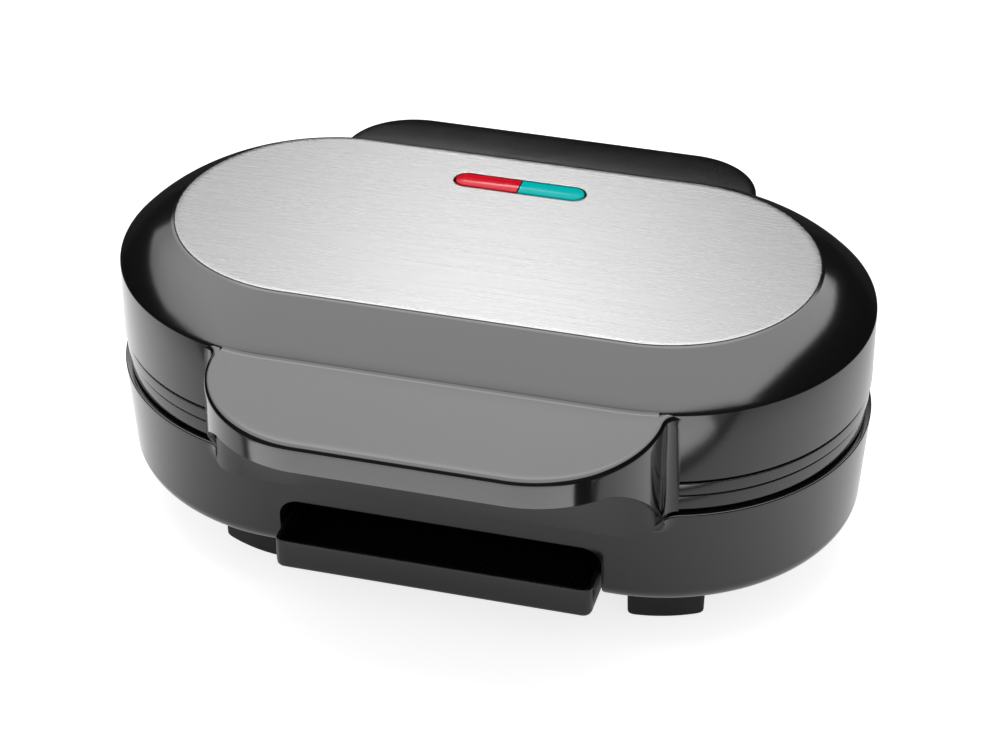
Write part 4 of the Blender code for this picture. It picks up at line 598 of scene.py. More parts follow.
# Mains inlet
# A round bush of black rubber with a flange outside sits in the back wall, where a cord would pass; its
# three leads run inside to a ceramic block.
bush_low, bush_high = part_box("cord_bush")
BUSH_X = (bush_low.x + bush_high.x) / 2
BUSH_Z = (bush_low.z + bush_high.z) / 2
BUSH_FLANGE_R = (bush_high.z - bush_low.z) / 2
BUSH_R = 0.0052
BUSH_BORE = 0.0034
BUSH_FLANGE = 0.0022
near, far = bush_low.y, bush_high.y
inner_face, outer_face = near + BUSH_FLANGE, far - BUSH_FLANGE
bush_line = filleted([
    (near, BUSH_BORE, 0), (near, BUSH_FLANGE_R, 0.0005), (inner_face, BUSH_FLANGE_R, 0.0005),
    (inner_face, BUSH_R, 0.0002), (outer_face, BUSH_R, 0.0002), (outer_face, BUSH_FLANGE_R, 0.0007),
    (far, BUSH_FLANGE_R, 0.0009), (far, BUSH_BORE, 0.0006), (near, BUSH_BORE, 0)])
bush = spun("inlet_bush", bush_line, (BUSH_X, 0, BUSH_Z), 1, 64, closed=True)
dressed(bush, rubber, "base", "black_rubber", "cord_bush")

CERAMIC_WHITE = (0.80, 0.78, 0.72, 1)
SLEEVE_WHITE = (0.55, 0.54, 0.50, 1)
ceramic = finish_of("white_ceramic", GRAINED_SKIN, Colour=CERAMIC_WHITE, Roughness=0.5, Grain_Depth=0.00002)
sleeve = finish_of("glass_fibre_sleeve", GRAINED_SKIN, Colour=SLEEVE_WHITE, Roughness=0.75, Grain_Size=1100.0,
                   Grain_Depth=0.00012)
repaint(ceramic, "terminal_block")
repaint(sleeve, "mains_lead_live", "mains_lead_earth", "mains_lead_neutral", "element_lead_left",
        "element_lead_right", "lamp_lead_red", "lamp_lead_green")

# Drip tray
# A shallow box of matt black plastic that slides in the opening under the front, with a flat front that
# stands a little proud of the wall and a thin edge round its top.
tray_low, tray_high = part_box("drip_tray")
TRAY_CORNER = 0.0035
TRAY_WALL = 0.0018
TRAY_BOTTOM_EDGE = 0.0022
TRAY_TOP_EDGE = 0.0005
TRAY_INNER_EDGE = 0.0012
TRAY_UNDER = 0.0031
TRAY_FLOOR = 0.0034
TRAY_BLACK = (0.0090, 0.0090, 0.0095, 1.0)
tray_plastic = finish_of("tray_plastic", MOULDED_SKIN, Colour=TRAY_BLACK, Roughness=0.26, Peel_Size=700.0,
                         Marks=0.12)


def tray_grid():
    """The tray's skin: its round-cornered outline at each station (inset, height) of a section that runs
    from the middle of the underside up the outer wall, over the edge and down to the middle inside."""
    top, low, inside = tray_high.z, tray_low.z, tray_low.z + TRAY_WALL
    section = filleted([(TRAY_UNDER, low, 0), (0, low, TRAY_BOTTOM_EDGE), (0, top, TRAY_TOP_EDGE),
                        (TRAY_WALL, top, TRAY_TOP_EDGE), (TRAY_WALL, inside, TRAY_INNER_EDGE),
                        (TRAY_FLOOR, inside, 0)])
    half_x, half_y = (tray_high.x - tray_low.x) / 2, (tray_high.y - tray_low.y) / 2
    rings = drawn_in(rounded_box(half_x, half_y, TRAY_CORNER, 240), section[:, 0])
    rings = np.concatenate([0 * rings[:1], rings, 0 * rings[:1]])
    z = np.concatenate([[low], section[:, 1], [inside]])[:, None]
    return placed(rings[..., 0], (tray_low.y + tray_high.y) / 2 + rings[..., 1], z)


dressed(skin("sliding_tray", tray_grid()), tray_plastic, "tray", "matt_black", "drip_tray")

# Cooking plates
# Two aluminium castings with a dark non-stick coating lie face to face, each with two round wells for the
# patties; the lower one has a groove from each well to a drain over the tray.
WELL_R = 0.0580
WELL_X = 0.0640
WELL_TAPER = 0.0050
WELL_FLOOR_EDGE = 0.0035
WELL_RIM_EDGE = 0.0018
LAND_START = 0.0030
CUP_LEAN = 0.0025
COOK_R = 0.0780
COOK_THICK = 0.0030
WELL_DEPTHS = {"lower": 0.0122, "upper": 0.0080}
GROOVE_HALF = 0.0042
GROOVE_DEPTH = 0.0016
GROOVE_BEND = 0.7
DRAIN_Y = 0.0693
DRAIN_HALF_X = 0.0072
DRAIN_HALF_Y = 0.0030
DRAIN_DEPTH = 0.0100
DRAIN_SLOPE = 0.0010
LAND_SHARE = 0.06
UNDER_SHARE = 0.1
TINY = 1e-9
COATING = (0.0300, 0.0300, 0.0310, 1.0)
SPECK = (0.22, 0.22, 0.22, 1)
SPECK_RADIUS = (0.05, 0.22)
SPECK_CHOICE, SPECK_LEVELS = (0.55, 0.75), (0.0, 0.5)
COATED_SWING = (-0.06, 0.06)
PEEL_DEPTH = 0.00004


def coated_casting():
    """Sprayed non-stick coating on a casting: a fine sparkle of lighter specks over a soft orange peel."""
    tree, given, place = effect("coated_casting", Colour=COATING, Roughness=0.4)
    cells = node(tree, "TexVoronoi", Vector=place, Scale=820.0, Randomness=1.0).outputs
    near = ramp(tree, cells["Distance"], *SPECK_RADIUS, 1.0, 0.0)
    speck = calc(tree, "MULTIPLY", near, ramp(tree, cells["Color"], *SPECK_CHOICE, *SPECK_LEVELS))
    shade = node(tree, "Mix", {"data_type": "RGBA"}, n0=speck, n6=given["Colour"], n7=SPECK).outputs[2]
    cloud = noise(tree, place, size=18.0, Detail=5.0)
    rough = calc(tree, "ADD", ramp(tree, cloud, *CLOUD, *COATED_SWING), given["Roughness"])
    return put_out(tree, shade, rough, noise(tree, place, size=620.0, Detail=3.0), PEEL_DEPTH)


coating = finish_of("non_stick_coating", coated_casting(), Colour=COATING, Roughness=0.36)


def cooking_face(half_turns, up, depth, face_z):
    """One half of a plate on rays from its well's middle: the floor, the tapered wall with round edges, the
    flat land out to the plate's edge or to the plate's middle line, the edge, and the same way back under.
    The grooves and the drain are sunk by how near a place is to the line that they follow."""
    c, s = np.cos(half_turns), np.sin(half_turns)
    to_middle = WELL_X / np.maximum(-c, TINY)
    to_side = COOK_R / np.maximum(np.abs(s), TINY)
    across = HALF_STRAIGHT - WELL_X
    to_end = across * c + np.sqrt(np.maximum(COOK_R ** 2 - (across * s) ** 2, 0))
    far = np.minimum(np.where(to_side * c <= across, to_side, to_end), to_middle)
    section = filleted([(0, -depth, 0), (WELL_R - WELL_TAPER, -depth, WELL_FLOOR_EDGE),
                        (WELL_R, 0, WELL_RIM_EDGE), (WELL_R + LAND_START, 0, 0)], 8)
    rim = section[-1, 0]
    land = np.linspace(LAND_SHARE, 1, 16)[:, None]
    reach = np.vstack([section[:, :1] + 0 * c, rim + (far - rim) * land])
    height = np.vstack([section[:, 1:], 0 * land]) + 0 * c
    x, y = WELL_X + reach * c, reach * s
    if up > 0:
        groove = math.hypot(WELL_X, DRAIN_Y)
        way = np.array([WELL_X, DRAIN_Y]) / groove
        aside = np.abs(x * way[1] - (y + DRAIN_Y) * way[0])
        ahead = x * way[0] + (y + DRAIN_Y) * way[1]
        dip = np.clip(1 - aside / GROOVE_HALF, 0, 1) * (height == 0) * (ahead < groove)
        drain = np.clip((DRAIN_HALF_X - x) / DRAIN_SLOPE, 0, 1)
        drain = drain * np.clip((DRAIN_HALF_Y - np.abs(y + DRAIN_Y)) / DRAIN_SLOPE, 0, 1)
        height = height - GROOVE_DEPTH * dip ** GROOVE_BEND - DRAIN_DEPTH * drain
    under = np.array([(1, COOK_THICK), (UNDER_SHARE, COOK_THICK)])
    cup = np.array([(WELL_R + CUP_LEAN, COOK_THICK), (WELL_R - CUP_LEAN, COOK_THICK + depth),
                    (0, COOK_THICK + depth)])
    back_reach = np.vstack([rim + (far - rim) * under[:, :1], cup[:, :1] + 0 * c])
    back_height = -np.vstack([under[:, 1:], cup[:, 1:]]) + 0 * c
    x = np.vstack([x, WELL_X + back_reach * c])
    y = np.vstack([y, back_reach * s])
    return x, y, face_z + up * np.vstack([height, back_height])


def cooking_plate(name, up, depth, face_z):
    """Both halves of a plate, mirrored in its middle line, where they are welded."""
    x, y, z = cooking_face(np.linspace(-np.pi, np.pi, 300, endpoint=False), up, depth, face_z)
    bm = bmesh.new()
    for side in (-1, 1):
        half = skin("half", placed(side * x, MIDDLE_Y + y, z))
        mesh = half.data
        bm.from_mesh(mesh)
        bpy.data.objects.remove(half)
        bpy.data.meshes.remove(mesh)
    inside = [f for f in bm.faces if max(abs(v.co.x) for v in f.verts) < WELD / 2]
    bmesh.ops.delete(bm, geom=inside, context="FACES")
    bmesh.ops.remove_doubles(bm, verts=bm.verts, dist=WELD)
    return piece_of(name, bm, 40)


lower_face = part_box("lower_cooking_plate")[1].z
upper_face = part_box("upper_cooking_plate")[0].z
lower_plate = cooking_plate("patty_plate_lower", 1, WELL_DEPTHS["lower"], lower_face)
dressed(lower_plate, coating, "base", "coated_plate", "lower_cooking_plate")
upper_plate = cooking_plate("patty_plate_upper", -1, WELL_DEPTHS["upper"], upper_face)
dressed(upper_plate, coating, "lid", "coated_plate", "upper_cooking_plate")

# Heating and controls
# Behind each plate a sheathed heating loop lies in a dish of aluminised sheet, held by four screws, with
# the thermostat and the thermal fuse on the lower one.
SHEATH = (0.20, 0.21, 0.19, 1)
SHEET = (0.60, 0.61, 0.62, 1)
heater_sheath = finish_of("heater_sheath", PLATED_MARKS, {"Metallic": 1.0}, Colour=SHEATH, Roughness=0.5,
                          Tarnish=0.5)
sheet_metal = finish_of("aluminised_sheet", PLATED_MARKS, {"Metallic": 1.0}, Colour=SHEET, Roughness=0.4)
repaint(heater_sheath, "lower_heating_element", "upper_heating_element")
repaint(sheet_metal, "lower_reflector", "upper_reflector")
repaint(plated_steel, "thermostat", "thermal_fuse", "handle_screw_left", "handle_screw_right")
for level in ("lower", "upper"):
    for corner in ("front_left", "front_right", "rear_left", "rear_right"):
        repaint(plated_steel, "%s_plate_screw_%s" % (level, corner))

# Lid housing
# The lid is a shell of the same glossy plastic: two narrow bands over its rim, a steep wall, a sharp
# shoulder and a slightly crowned bevel that climbs to a low sloping bead round the steel plate.
LID_RIM_Z = 0.0684
BAND_2_R = 0.0809
BAND_1_R = 0.0816
SHOULDER_R = 0.0823
LINE_2_Z = (0.0744, 0.0753)
LINE_1_Z = (0.0805, 0.0820)
LINE_DEPTH = 0.0014
BAND_EDGE = 0.0004
SHOULDER_Z = 0.1120
SHOULDER_EDGE = 0.0020
CROWN_PLACE = (0.0744, 0.1204)
CROWN_R = 0.0600
LIP_R = 0.0614
LIP_INNER_R = 0.0602
LIP_Z = 0.1273
BEAD_Z = 0.1277
RECESS_Z = 0.1266
RECESS_LEDGE = 0.0010
CEILING = 0.0025
CEILING_TURN = 0.0018
STEP_FOOT_Z, STEP_TOP_Z, STEP_WALL_Z = 0.0707, 0.0727, 0.0752
LINE_EDGE = 0.0001
LIP_EDGE = 0.0003
PLATE_R = 0.0600
LENS_Y = MIDDLE_Y + 0.0391
LENS_HALF_LENGTH = 0.0267
LENS_HALF_WIDTH = 0.0050
WINDOW_PLAY = 0.0003


def slot_ring(x, y, grow):
    """Where the rays from the middle of the lens slot to the given places cross the slot's outline: its
    straight sides, or the half circles at its ends."""
    straight, radius = LENS_HALF_LENGTH - LENS_HALF_WIDTH, LENS_HALF_WIDTH + grow
    far = np.hypot(x, y - LENS_Y)
    c, s = np.abs(x) / far, np.abs(y - LENS_Y) / far
    to_side = radius / np.maximum(s, TINY)
    to_end = straight * c + np.sqrt(np.maximum(radius ** 2 - (straight * s) ** 2, 0))
    reach = np.where(to_side * c <= straight, to_side, to_end)
    return x / far * reach, LENS_Y + (y - LENS_Y) / far * reach


def lid_grid():
    """The lid's skin: one profile carried round the oval, up the outside and down the inside, with two
    rings between them that narrow to the window for the lenses."""
    profile = filleted([
        (SEAT_WALL_R, LID_RIM_Z, 0), (BAND_2_R, LID_RIM_Z, BAND_EDGE),
        (BAND_2_R, LINE_2_Z[0], BAND_EDGE), (BAND_2_R - LINE_DEPTH, LINE_2_Z[0], LINE_EDGE),
        (BAND_2_R - LINE_DEPTH, LINE_2_Z[1], LINE_EDGE), (BAND_1_R, LINE_2_Z[1], BAND_EDGE),
        (BAND_1_R, LINE_1_Z[0], BAND_EDGE), (BAND_1_R - LINE_DEPTH, LINE_1_Z[0], LINE_EDGE),
        (BAND_1_R - LINE_DEPTH, LINE_1_Z[1], LINE_EDGE), (SHOULDER_R, LINE_1_Z[1], BAND_EDGE),
        (SHOULDER_R, SHOULDER_Z, SHOULDER_EDGE), (*CROWN_PLACE, CROWN_R), (LIP_R, LIP_Z, LIP_EDGE),
        (LIP_INNER_R, BEAD_Z, LINE_EDGE), (LIP_INNER_R, RECESS_Z, LINE_EDGE),
        (LIP_INNER_R - RECESS_LEDGE, RECESS_Z, 0)], 8)
    inside = np.array([
        (LIP_INNER_R - CEILING_TURN, RECESS_Z - CEILING), (BAND_2_R - WALL, SHOULDER_Z - WALL),
        (BAND_2_R - WALL, STEP_WALL_Z), (SEAT_R, STEP_TOP_Z), (SEAT_R, STEP_FOOT_Z),
        (SEAT_WALL_R, STEP_FOOT_Z)])
    q = np.linspace(-HALF_ROUND, HALF_ROUND, 480, endpoint=False)
    outer = laid(q, profile[:, :1], profile[:, 1:])
    window = slot_ring(outer[-1, :, 0], outer[-1, :, 1], WINDOW_PLAY)
    windows = placed(*window, np.array([RECESS_Z, RECESS_Z - CEILING])[:, None])
    return np.vstack([outer, windows, laid(q, inside[:, :1], inside[:, 1:])])


dressed(skin("lid_housing", lid_grid(), along=True), gloss_plastic, "lid", "gloss_black", "lid_shell")

# Handle
# The front of the lid runs out into a wide flat handle, round at its corners: a thin rounded edge, a skirt
# that sweeps down at its ends to the parting line, and soft hollows where it leaves the wall.
HANDLE_HALF = 0.0874
HANDLE_REACH = 0.1322
HANDLE_CORNER = 0.0485
HANDLE_FRONT_Z = 0.1100
HANDLE_ROOT_Z = 0.1120
HANDLE_EDGE = 0.0023
HANDLE_WALL = 0.0024
ROOT_R = SHOULDER_R - 0.0030
SKIRT_Z = 0.0980
SKIRT_KNEE = 0.1170
SKIRT_FOOT = 0.0840
SKIRT_BEND = 1.3
SKIRT_LIP = 0.0004
CREASE_R = 0.0034
CREASE_LEAN = math.radians(44)
CREASE_OPENS = 0.0050
SHUT_INSET, SHUT_DROP = 0.0012, 0.0005
BURIED_LIFT, BURIED_DROP = 0.0010, 0.0006
handle_line = ledge_outline(HANDLE_HALF, HANDLE_REACH, HANDLE_CORNER, SHOULDER_R, 361)


def line_drawn_in(line, inset):
    """A ledge's outline moved in along its normals, as the way round and the distance from the spine."""
    way = np.gradient(line, axis=0)
    way /= np.linalg.norm(way, axis=1)[:, None]
    moved = line - np.asarray(inset, float)[..., None, None] * np.stack([way[:, 1], -way[:, 0]], axis=1)
    return (*unrolled(moved[..., 0], moved[..., 1]), moved[..., 1])


def handle_top(out):
    """Height of the handle's flat top at a distance out from the long axis."""
    back_share = (HANDLE_REACH - out) / (HANDLE_REACH - SHOULDER_R)
    return HANDLE_FRONT_Z + (HANDLE_ROOT_Z - HANDLE_FRONT_Z) * back_share


def skirt_foot(out):
    """Height of the skirt's lower edge: level at the front, then down to the parting line along a power of
    the way back."""
    share = np.clip((SKIRT_KNEE - out) / (SKIRT_KNEE - SKIRT_FOOT), 0, 1)
    return SKIRT_Z - (SKIRT_Z - LID_RIM_Z) * share ** SKIRT_BEND


def handle_grid():
    """The handle's skin on rays square to the oval: up out of the bevel in a small hollow that closes where
    the handle leaves the wall, over the flat top, round the edge, down the skirt, and back inside."""
    edge_q, edge_r, edge_out = line_drawn_in(handle_line, [HANDLE_EDGE])
    opened = eased((edge_r[0] - SHOULDER_R) / CREASE_OPENS)
    lean = np.linspace(CREASE_LEAN, 0, 9)[:, None]
    tangent = CREASE_R * math.tan(CREASE_LEAN / 2)
    crease_r = SHOULDER_R - SHUT_INSET * (1 - opened) + (tangent - CREASE_R * np.sin(lean)) * opened
    crease_z = handle_top(SHOULDER_R) - SHUT_DROP * (1 - opened) + CREASE_R * (1 - np.cos(lean)) * opened
    buried = laid(edge_q, ROOT_R, crease_z[:1] + BURIED_LIFT * opened - BURIED_DROP)
    crease = laid(edge_q, crease_r, crease_z)
    share = np.linspace(0, 1, 14)[1:, None]
    top_r = crease_r[-1] + (edge_r - crease_r[-1]) * share
    top_out = np.maximum(edge_out * (top_r / np.maximum(edge_r, TINY)), 0)
    top = laid(edge_q, top_r, handle_top(top_out))
    turn = np.linspace(0, np.pi / 2, 9)[1:]
    round_q, round_r, round_out = line_drawn_in(handle_line, HANDLE_EDGE * (1 - np.sin(turn)))
    edge = laid(round_q, round_r, handle_top(round_out) - HANDLE_EDGE * (1 - np.cos(turn))[:, None])
    wall_q, wall_r, wall_out = line_drawn_in(handle_line, [0])
    high = handle_top(wall_out) - HANDLE_EDGE
    foot_z = skirt_foot(wall_out)
    skirt = laid(wall_q, wall_r, high + (foot_z + SKIRT_LIP - high) * np.linspace(0, 1, 12)[1:, None])
    lip_q, lip_r, _ = line_drawn_in(handle_line, [SKIRT_LIP, HANDLE_WALL - SKIRT_LIP])
    in_q, in_r, in_out = line_drawn_in(handle_line, [HANDLE_WALL])
    inner = laid(in_q, in_r, np.vstack([foot_z + SKIRT_LIP, handle_top(in_out) - HANDLE_WALL]))
    root = laid(edge_q, ROOT_R, handle_top(SHOULDER_R) - HANDLE_WALL)
    return np.vstack([buried, crease, top, edge, skirt, laid(lip_q, lip_r, foot_z), inner, root])


handle = skin("handle", handle_grid(), around=False, along=True)
dressed(handle, gloss_plastic, "lid", "gloss_black")

# Handle underside
# A cover closes the hollow handle from below: level behind the skirt, then down in a slope to the
# parting line, where it laps a little over the lip of the base. Two screws hold it.
COVER_LIFT = 0.0013
COVER_KNEE_SHARE = 0.42
COVER_BEND = 1.12
COVER_LAP = 0.00015
COVER_DROP = 0.0013
COVER_FADE = 0.0030
COVER_TUCK = 0.0002
COVER_TURN_UP = 0.0020
COVER_THICK = 0.0030
COVER_FOOT_Z = LID_RIM_Z + 0.0002
HIDDEN_INSET = 0.0004
COVER_BLACK = (0.0300, 0.0300, 0.0310, 1)


def underside_grid():
    """The cover's skin on the handle's rays: level, then down along a power of the way in to the lip's
    outline at the parting line, and back up inside, out of sight."""
    q, r, out = (part[0] for part in line_drawn_in(handle_line, [HANDLE_WALL - COVER_TUCK]))
    over = np.clip(chin_swell(q) / COVER_FADE, 0, 1)
    inner_r = RIM_R + chin_swell(q) + COVER_LAP * (2 * over - 1)
    inner_r -= np.maximum(inner_r - r + COVER_TUCK, 0) * (1 - over)
    share = np.linspace(0, 1, 30)[:, None]
    fall = np.clip((share - COVER_KNEE_SHARE) / (1 - COVER_KNEE_SHARE), 0, 1) ** COVER_BEND
    start = skirt_foot(out) + COVER_LIFT
    end = COVER_FOOT_Z + (RIM_Z - COVER_DROP - COVER_FOOT_Z) * over
    slope = laid(q, r + (inner_r - r) * share, start + (end - start) * fall)
    lap = laid(q, inner_r - COVER_TUCK / 2 * over, np.vstack([end, end + COVER_TURN_UP * over]))
    hidden_r = np.minimum(ROOT_R + COVER_TUCK, inner_r - HIDDEN_INSET)
    hidden = laid(q, hidden_r, np.vstack([0 * q + COVER_FOOT_Z, start + COVER_THICK]))
    return np.vstack([slope, lap, hidden, laid(q, r, start + COVER_THICK)[None]])


cover_plastic = finish_of("cover_plastic", MOULDED_SKIN, {"Specular_IOR_Level": 0.25}, Colour=COVER_BLACK,
                          Roughness=0.42, Peel_Size=500.0)
underside = skin("handle_cover", underside_grid(), around=False, along=True)
dressed(underside, cover_plastic, "lid", "matt_black", "handle_underside")

# Rear ledge and hinge lugs
# Behind, the lid carries a shorter ledge with wide round corners, level with its shoulder, and two lugs
# that reach down from it to the hinge pins.
LEDGE_HALF = 0.0872
LEDGE_REACH = 0.1130
LEDGE_DROP = 0.0007
LEDGE_CORNER = 0.0302
LEDGE_Z = 0.1118
LEDGE_LIP = 0.0120
LEDGE_EDGE = 0.0022
ledge_line = ledge_outline(LEDGE_HALF, LEDGE_REACH, LEDGE_CORNER, SHOULDER_R, 301)
LUG_ROOT_Z = LEDGE_Z - WALL / 2
LUG_ROOT_LENGTH = 0.0200
LUG_ROOTS = tuple((MIDDLE_Y + SHOULDER_R + out, LUG_ROOT_Z) for out in (0, LUG_ROOT_LENGTH))


def ledge_top(r):
    """Height of the ledge's top, which drops a little with the square of the way out from the shoulder."""
    return LEDGE_Z - LEDGE_DROP * np.clip((r - SHOULDER_R) / (LEDGE_REACH - SHOULDER_R), 0, 1) ** 2


def ledge_grid():
    """The rear ledge's skin on rays square to the oval: its flat top, a rounded edge, a straight lip and
    its hollow underside."""
    turn = np.linspace(0, np.pi / 2, 9)
    round_q, round_r, _ = line_drawn_in(ledge_line, LEDGE_EDGE * (1 - np.sin(turn)))
    share = np.linspace(0, 1, 8)[:-1, None]
    top_r = ROOT_R + (round_r[:1] - ROOT_R) * share
    top = laid(round_q[:1], top_r, ledge_top(top_r), 1)
    edge = laid(round_q, round_r, ledge_top(round_r) - LEDGE_EDGE * (1 - np.cos(turn))[:, None], 1)
    insets = [0, SKIRT_LIP, HANDLE_WALL - SKIRT_LIP, HANDLE_WALL, HANDLE_WALL]
    low_q, low_r, _ = line_drawn_in(ledge_line, insets)
    foot = LEDGE_Z - LEDGE_LIP
    low_z = np.array([foot + SKIRT_LIP, foot, foot, foot + SKIRT_LIP, LEDGE_Z - HANDLE_WALL])[:, None]
    root = laid(round_q[:1], ROOT_R, LEDGE_Z - HANDLE_WALL, 1)
    return np.vstack([top, edge, laid(low_q, low_r, low_z, 1), root])


dressed(skin("rear_ledge", ledge_grid(), around=False, along=True), gloss_plastic, "lid", "gloss_black")
for side, hand in ((-1, "left"), (1, "right")):
    lug = knuckle("hinge_lug_" + hand, side * LUG_MIDDLE, LUG_WIDTH, LUG_ROOTS)
    dressed(lug, gloss_plastic, "lid", "gloss_black")

# Steel plate
# A sheet of stainless steel, brushed lengthwise, lies in the recess of the lid's top. Its cut edge is
# bright, and a slot with round ends lets the lenses through.
PLATE_TOP = plate_high.z
PLATE_BOTTOM = plate_low.z
PLATE_EDGE = 0.00028
PLATE_LOW_EDGE = 0.0001
PLATE_FLAT = 0.0020
SLOT_EDGE = ((0.00120, 0), (0.00080, 0), (0.00062, 0.00002), (0.00056, 0.00010), (0.00050, 0.00022),
             (0.00050, PLATE_TOP - PLATE_BOTTOM))
FINE_LINES = (22.0, 2600.0, 300.0)
WIDE_LINES = (9.0, 420.0, 100.0)
STEEL = (0.297, 0.297, 0.297, 1)
BRUSHED_SWING = 0.05


def brushed_lines():
    """Brushing along X: noise drawn out a hundredfold that way gives the lines in the normal, the colour
    and the roughness, and wider bands keep them from being even."""
    tree, given, place = effect("brushed_lines", Colour=STEEL, Roughness=0.3, Line_Depth=0.0000015,
                                Contrast=0.035)
    fine, wide = (node(tree, "Mapping", Vector=place, Scale=stretch).outputs["Vector"]
                  for stretch in (FINE_LINES, WIDE_LINES))
    lines = noise(tree, fine, 1.0, Detail=3.0, Roughness=0.6)
    bands = noise(tree, wide, 1.0, Detail=4.0, Roughness=0.55)
    both = calc(tree, "ADD", lines, bands)
    centred = calc(tree, "SUBTRACT", both, 1.0)
    shade = scaled(tree, given["Colour"], calc(tree, "MULTIPLY_ADD", centred, given["Contrast"], 1.0))
    rough = calc(tree, "MULTIPLY_ADD", centred, BRUSHED_SWING, given["Roughness"])
    return put_out(tree, shade, rough, both, given["Line Depth"])


brushed_steel = finish_of("brushed_steel", brushed_lines(), {"Metallic": 0.8}, Colour=STEEL, Roughness=0.27)


def plate_grid():
    """The plate's skin: its oval outline from the underside round the edge to the top, and then rings, each
    given as how far outside the slot and how far down, that round the slot's edge and go down through it."""
    profile = filleted([(PLATE_R - PLATE_FLAT, PLATE_BOTTOM, 0), (PLATE_R, PLATE_BOTTOM, PLATE_LOW_EDGE),
                        (PLATE_R, PLATE_TOP, PLATE_EDGE), (PLATE_R - PLATE_FLAT, PLATE_TOP, 0)])
    q = np.linspace(-HALF_ROUND, HALF_ROUND, 720, endpoint=False)
    outer = laid(q, profile[:, :1], profile[:, 1:])
    rings = [placed(*slot_ring(outer[-1, :, 0], outer[-1, :, 1], grow), PLATE_TOP - drop)
             for grow, drop in SLOT_EDGE]
    return np.vstack([outer, np.stack(rings)])


steel_plate = skin("steel_plate", plate_grid(), along=True)
dressed(steel_plate, brushed_steel, "lid", "top_steel", "top_plate")

# Indicator lenses and lamps
# A red and a green lens of clear coloured plastic share one slot. Under each a small lamp stands in a
# white box.
RED = (0.76, 0.006, 0.024, 1)
GREEN = (0.0, 0.538, 0.527, 1)
LENS_EDGE = 0.0006
LENS_GAP = 0.0004
LENS_TOP = PLATE_TOP + 0.0002
LENS_FOOT = PLATE_BOTTOM - 0.0030
LENS_FLAT = 0.0030
LENS_DOME = 0.0002
SEAM = 0.00030
LAMP_WHITE = (0.72, 0.72, 0.70, 1)
LAMP_GLASS = (0.75, 0.62, 0.55, 1)


def lens_grid(side):
    """Half of a round-ended bar, on rays from the middle of the seam: the outline at each station (inset,
    height) of a section that climbs the side, rounds the edge and closes over a very low dome."""
    ray = np.linspace(-np.pi / 2, np.pi / 2, 161)
    section = filleted([(LENS_GAP, LENS_FOOT, 0), (LENS_GAP, LENS_TOP, LENS_EDGE),
                        (LENS_FLAT, LENS_TOP + LENS_DOME / 2, 0)], 8)
    x, y = slot_ring(np.cos(ray), LENS_Y + np.sin(ray), -section[:, :1])
    x, y = (np.vstack([middle + 0 * part[:1], part, middle + 0 * part[:1]])
            for part, middle in ((x, 0), (y, LENS_Y)))
    z = np.concatenate([[LENS_FOOT], section[:, 1], [LENS_TOP + LENS_DOME]])[:, None]
    return placed(side * np.maximum(x, SEAM), y, z)


for side, hue, colour, shine in ((-1, "red", RED, 0.12), (1, "green", GREEN, 0.03)):
    lens_plastic = finish_of(hue + "_lens", MOULDED_SKIN, {"IOR": 1.45, "Specular_IOR_Level": shine},
                             Colour=colour, Roughness=0.1)
    dressed(skin("indicator_" + hue, lens_grid(side)), lens_plastic, "lid", hue + "_lens", "lens_" + hue)
lamp_white = finish_of("white_lamp_box", GRAINED_SKIN, Colour=LAMP_WHITE, Roughness=0.45)
lamp_glass = finish_of("lamp_glass", MOULDED_SKIN, {"Transmission_Weight": 0.6, "IOR": 1.45},
                       Colour=LAMP_GLASS, Roughness=0.08)
repaint(lamp_white, "lamp_housing")
repaint(lamp_glass, "lamp_red", "lamp_green")

# Studio
# A pale table, white to the camera, under one large lamp and with a low one in front. What the gloss mirrors
# is made for reflections alone: a slanted soft box in the sky, side cards and dark fields on the table, and
# a small black flag beside the handle.
FLOOR_SIZE = 8.0
FLOOR_COLOUR = (0.80, 0.80, 0.80, 1)
WHITE = (1, 1, 1, 1)
OVERHEAD = (-0.10, 0.10, 1.40)
LOW_FRONT = (0.0075, -0.33925, 0.003)
TABLE_SHOWN = 0.77
TABLE_MIRRORED = 0.35
SHEET_REACH = 0.27
SHEET_INNER, SHEET_OUTER = SHEET_REACH - 0.06, SHEET_REACH + 0.05
DUSK = 0.03
STRIP_Y = -0.1695
STRIP_HALF = (0.007, 0.011)
STRIP_STARTS = (0.045, 0.060)
CARD_X = 0.29
CARD_FADE = (0.03, 0.24)
CARD_LEVELS = (0.65, 0.42)
CARDS_MEET = 0.05


def soft_box(name, place, aim, width, height, radiance, seen_in_gloss=True):
    """A rectangular lamp of a given radiance that faces a point, unseen by the camera."""
    data = bpy.data.lights.new(name, "AREA")
    data.shape = "RECTANGLE"
    data.size, data.size_y = width, height
    data.energy = radiance * math.pi * width * height
    lamp = bpy.data.objects.new(name, data)
    lamp.location = place
    lamp.rotation_euler = (Vector(aim) - Vector(place)).to_track_quat("-Z", "Y").to_euler()
    lamp.visible_camera = False
    lamp.visible_glossy = seen_in_gloss
    scene.collection.objects.link(lamp)
    return lamp


def panel(name, finish_name, corners):
    """A four-cornered panel, with the empty node tree of its material."""
    mesh = bpy.data.meshes.new(name)
    mesh.from_pydata(corners, [], [(0, 1, 2, 3)])
    material = bpy.data.materials.new(finish_name)
    material.use_nodes = True
    material.node_tree.nodes.clear()
    mesh.materials.append(material)
    piece = bpy.data.objects.new(name, mesh)
    scene.collection.objects.link(piece)
    return piece, material.node_tree


def apart(tree, value, middle):
    """How far a value lies from a middle one."""
    return calc(tree, "ABSOLUTE", calc(tree, "SUBTRACT", value, middle))


def distance(tree, x, y):
    """The length of a way that goes x across and y ahead."""
    way = node(tree, "CombineXYZ", X=x, Y=y).outputs[0]
    return node(tree, "VectorMath", {"operation": "LENGTH"}, n0=way).outputs["Value"]


